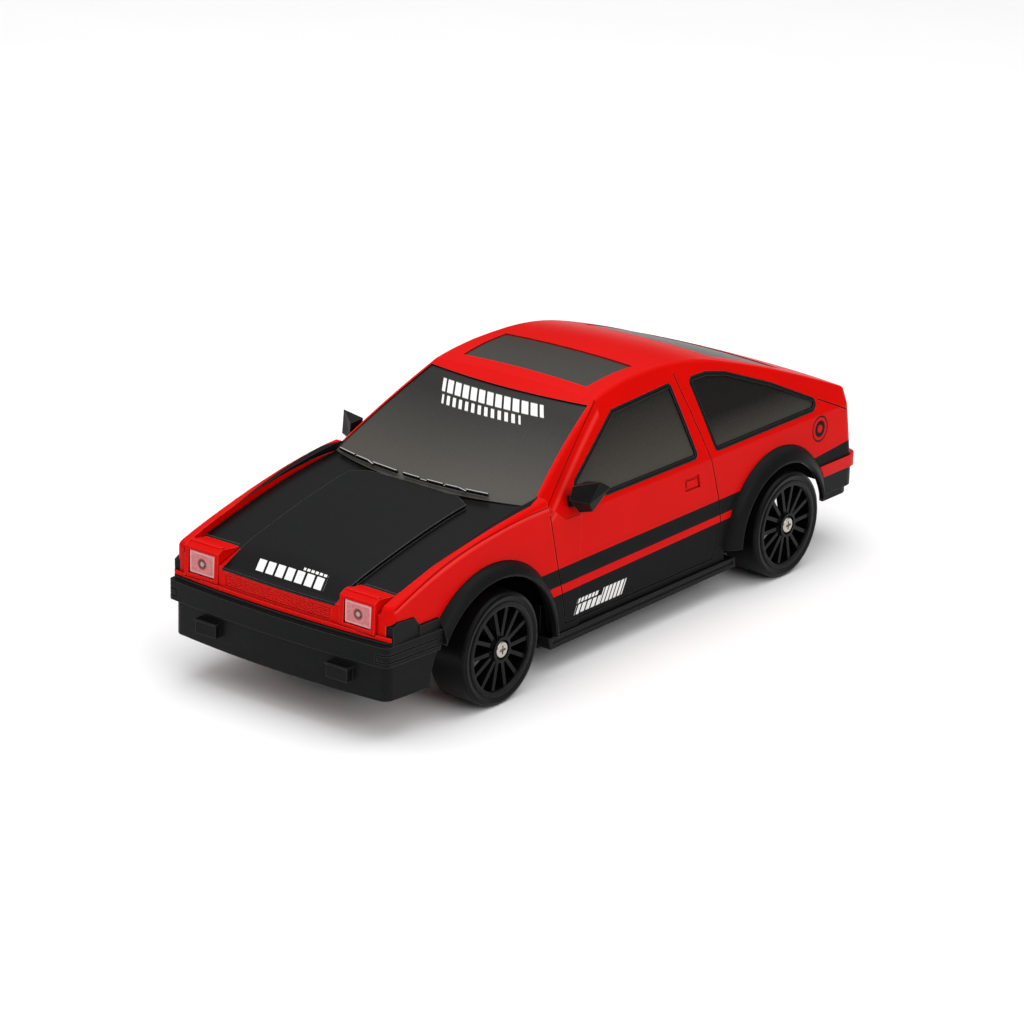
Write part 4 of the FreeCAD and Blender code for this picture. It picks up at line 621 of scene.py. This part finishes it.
def grille_bricks(made):
    """Staggered rows of small raised bricks that follow the bowed panel."""
    pitch_y = BRICK_PITCH * MM
    pitch_z = (GRILLE_HIGH.z - GRILLE_LOW.z - 2 * GRILLE_BORDER * MM) / BRICK_ROWS
    half_width = (GRILLE_HIGH.y - GRILLE_LOW.y) / 2
    bow = GRILLE_BOW * MM / (GRILLE_BOW_AT * MM) ** 2
    half = (BRICK_HALF_DEPTH * MM, BRICK_HALF_WIDTH * MM, pitch_z * BRICK_FILL)
    for row in range(BRICK_ROWS):
        z = GRILLE_LOW.z + GRILLE_BORDER * MM + (row + 0.5) * pitch_z
        shift = pitch_y / 2 if row % 2 else 0.0
        count = int(half_width / pitch_y)
        for i in range(-count, count + 1):
            y = i * pitch_y + shift
            if abs(y) > half_width - BRICK_BORDER * MM:
                continue
            x = GRILLE_HIGH.x - bow * y * y
            brick(made, (x - BRICK_SINK * MM, y, z), half, BRICK_CHAMFER * MM)


new_piece("grille_bricks", grille_bricks, RED_TRIM, "chassis")


# ---- floor, light and camera ---------------------------------------------
def floor():
    mesh = bpy.data.meshes.new("floor")
    made = bmesh.new()
    bmesh.ops.create_grid(made, x_segments=1, y_segments=1, size=FLOOR_HALF)
    made.to_mesh(mesh)
    made.free()
    obj = bpy.data.objects.new("floor", mesh)
    obj.location.z = -FLOOR_DROP
    bpy.context.scene.collection.objects.link(obj)
    g = Graph("floor_paper")
    mesh.materials.append(g.surface(g.mix(g.noise(0.02), PAPER, PAPER_BRIGHT), 0.9))


def area_light(name, place, aim, width, height, power):
    data = bpy.data.lights.new(name, "AREA")
    data.shape = "RECTANGLE"
    data.size = width
    data.size_y = height
    data.energy = power
    light = bpy.data.objects.new(name, data)
    light.location = place
    light.rotation_mode = "QUATERNION"
    light.rotation_quaternion = (Vector(aim) - Vector(place)).to_track_quat("-Z", "Y")
    bpy.context.scene.collection.objects.link(light)


def world():
    """White overhead, falling away to a dark horizon, like a room above a light table."""
    sky = bpy.data.worlds.new("studio")
    sky.use_nodes = True
    tree = sky.node_tree
    split = tree.nodes.new("ShaderNodeSeparateXYZ")
    tree.links.new(tree.nodes.new("ShaderNodeTexCoord").outputs["Generated"], split.inputs[0])
    height = tree.nodes.new("ShaderNodeMapRange")
    for target, value in zip(height.inputs[1:5], (HORIZON_Z, ZENITH_Z, HORIZON_LIGHT, ZENITH_LIGHT)):
        target.default_value = value
    tree.links.new(split.outputs[2], height.inputs[0])
    tree.links.new(height.outputs[0], tree.nodes["Background"].inputs["Strength"])
    tree.nodes["Background"].inputs["Color"].default_value = (1.0, 1.0, 1.0, 1.0)
    bpy.context.scene.world = sky


def camera():
    data = bpy.data.cameras.new("camera")
    data.sensor_width = CAMERA_SENSOR
    data.lens = CAMERA_LENS
    data.clip_start = 0.01
    data.clip_end = 50.0
    flat = math.cos(CAMERA_PITCH)
    ahead = Vector((math.cos(CAMERA_YAW) * flat, math.sin(CAMERA_YAW) * flat, math.sin(CAMERA_PITCH)))
    right = Vector((math.sin(CAMERA_YAW), -math.cos(CAMERA_YAW), 0.0))
    up = right.cross(ahead)
    tilted_right = math.cos(CAMERA_ROLL) * right + math.sin(CAMERA_ROLL) * up
    tilted_up = -math.sin(CAMERA_ROLL) * right + math.cos(CAMERA_ROLL) * up
    obj = bpy.data.objects.new("camera", data)
    turn = Matrix((tilted_right, tilted_up, -ahead)).transposed().to_4x4()
    obj.matrix_world = Matrix.Translation(CAMERA_PLACE) @ turn
    bpy.context.scene.collection.objects.link(obj)
    bpy.context.scene.camera = obj


floor()
world()
for softbox in SOFTBOXES:
    area_light(*softbox)
camera()
bpy.context.scene.view_settings.view_transform = "Standard"
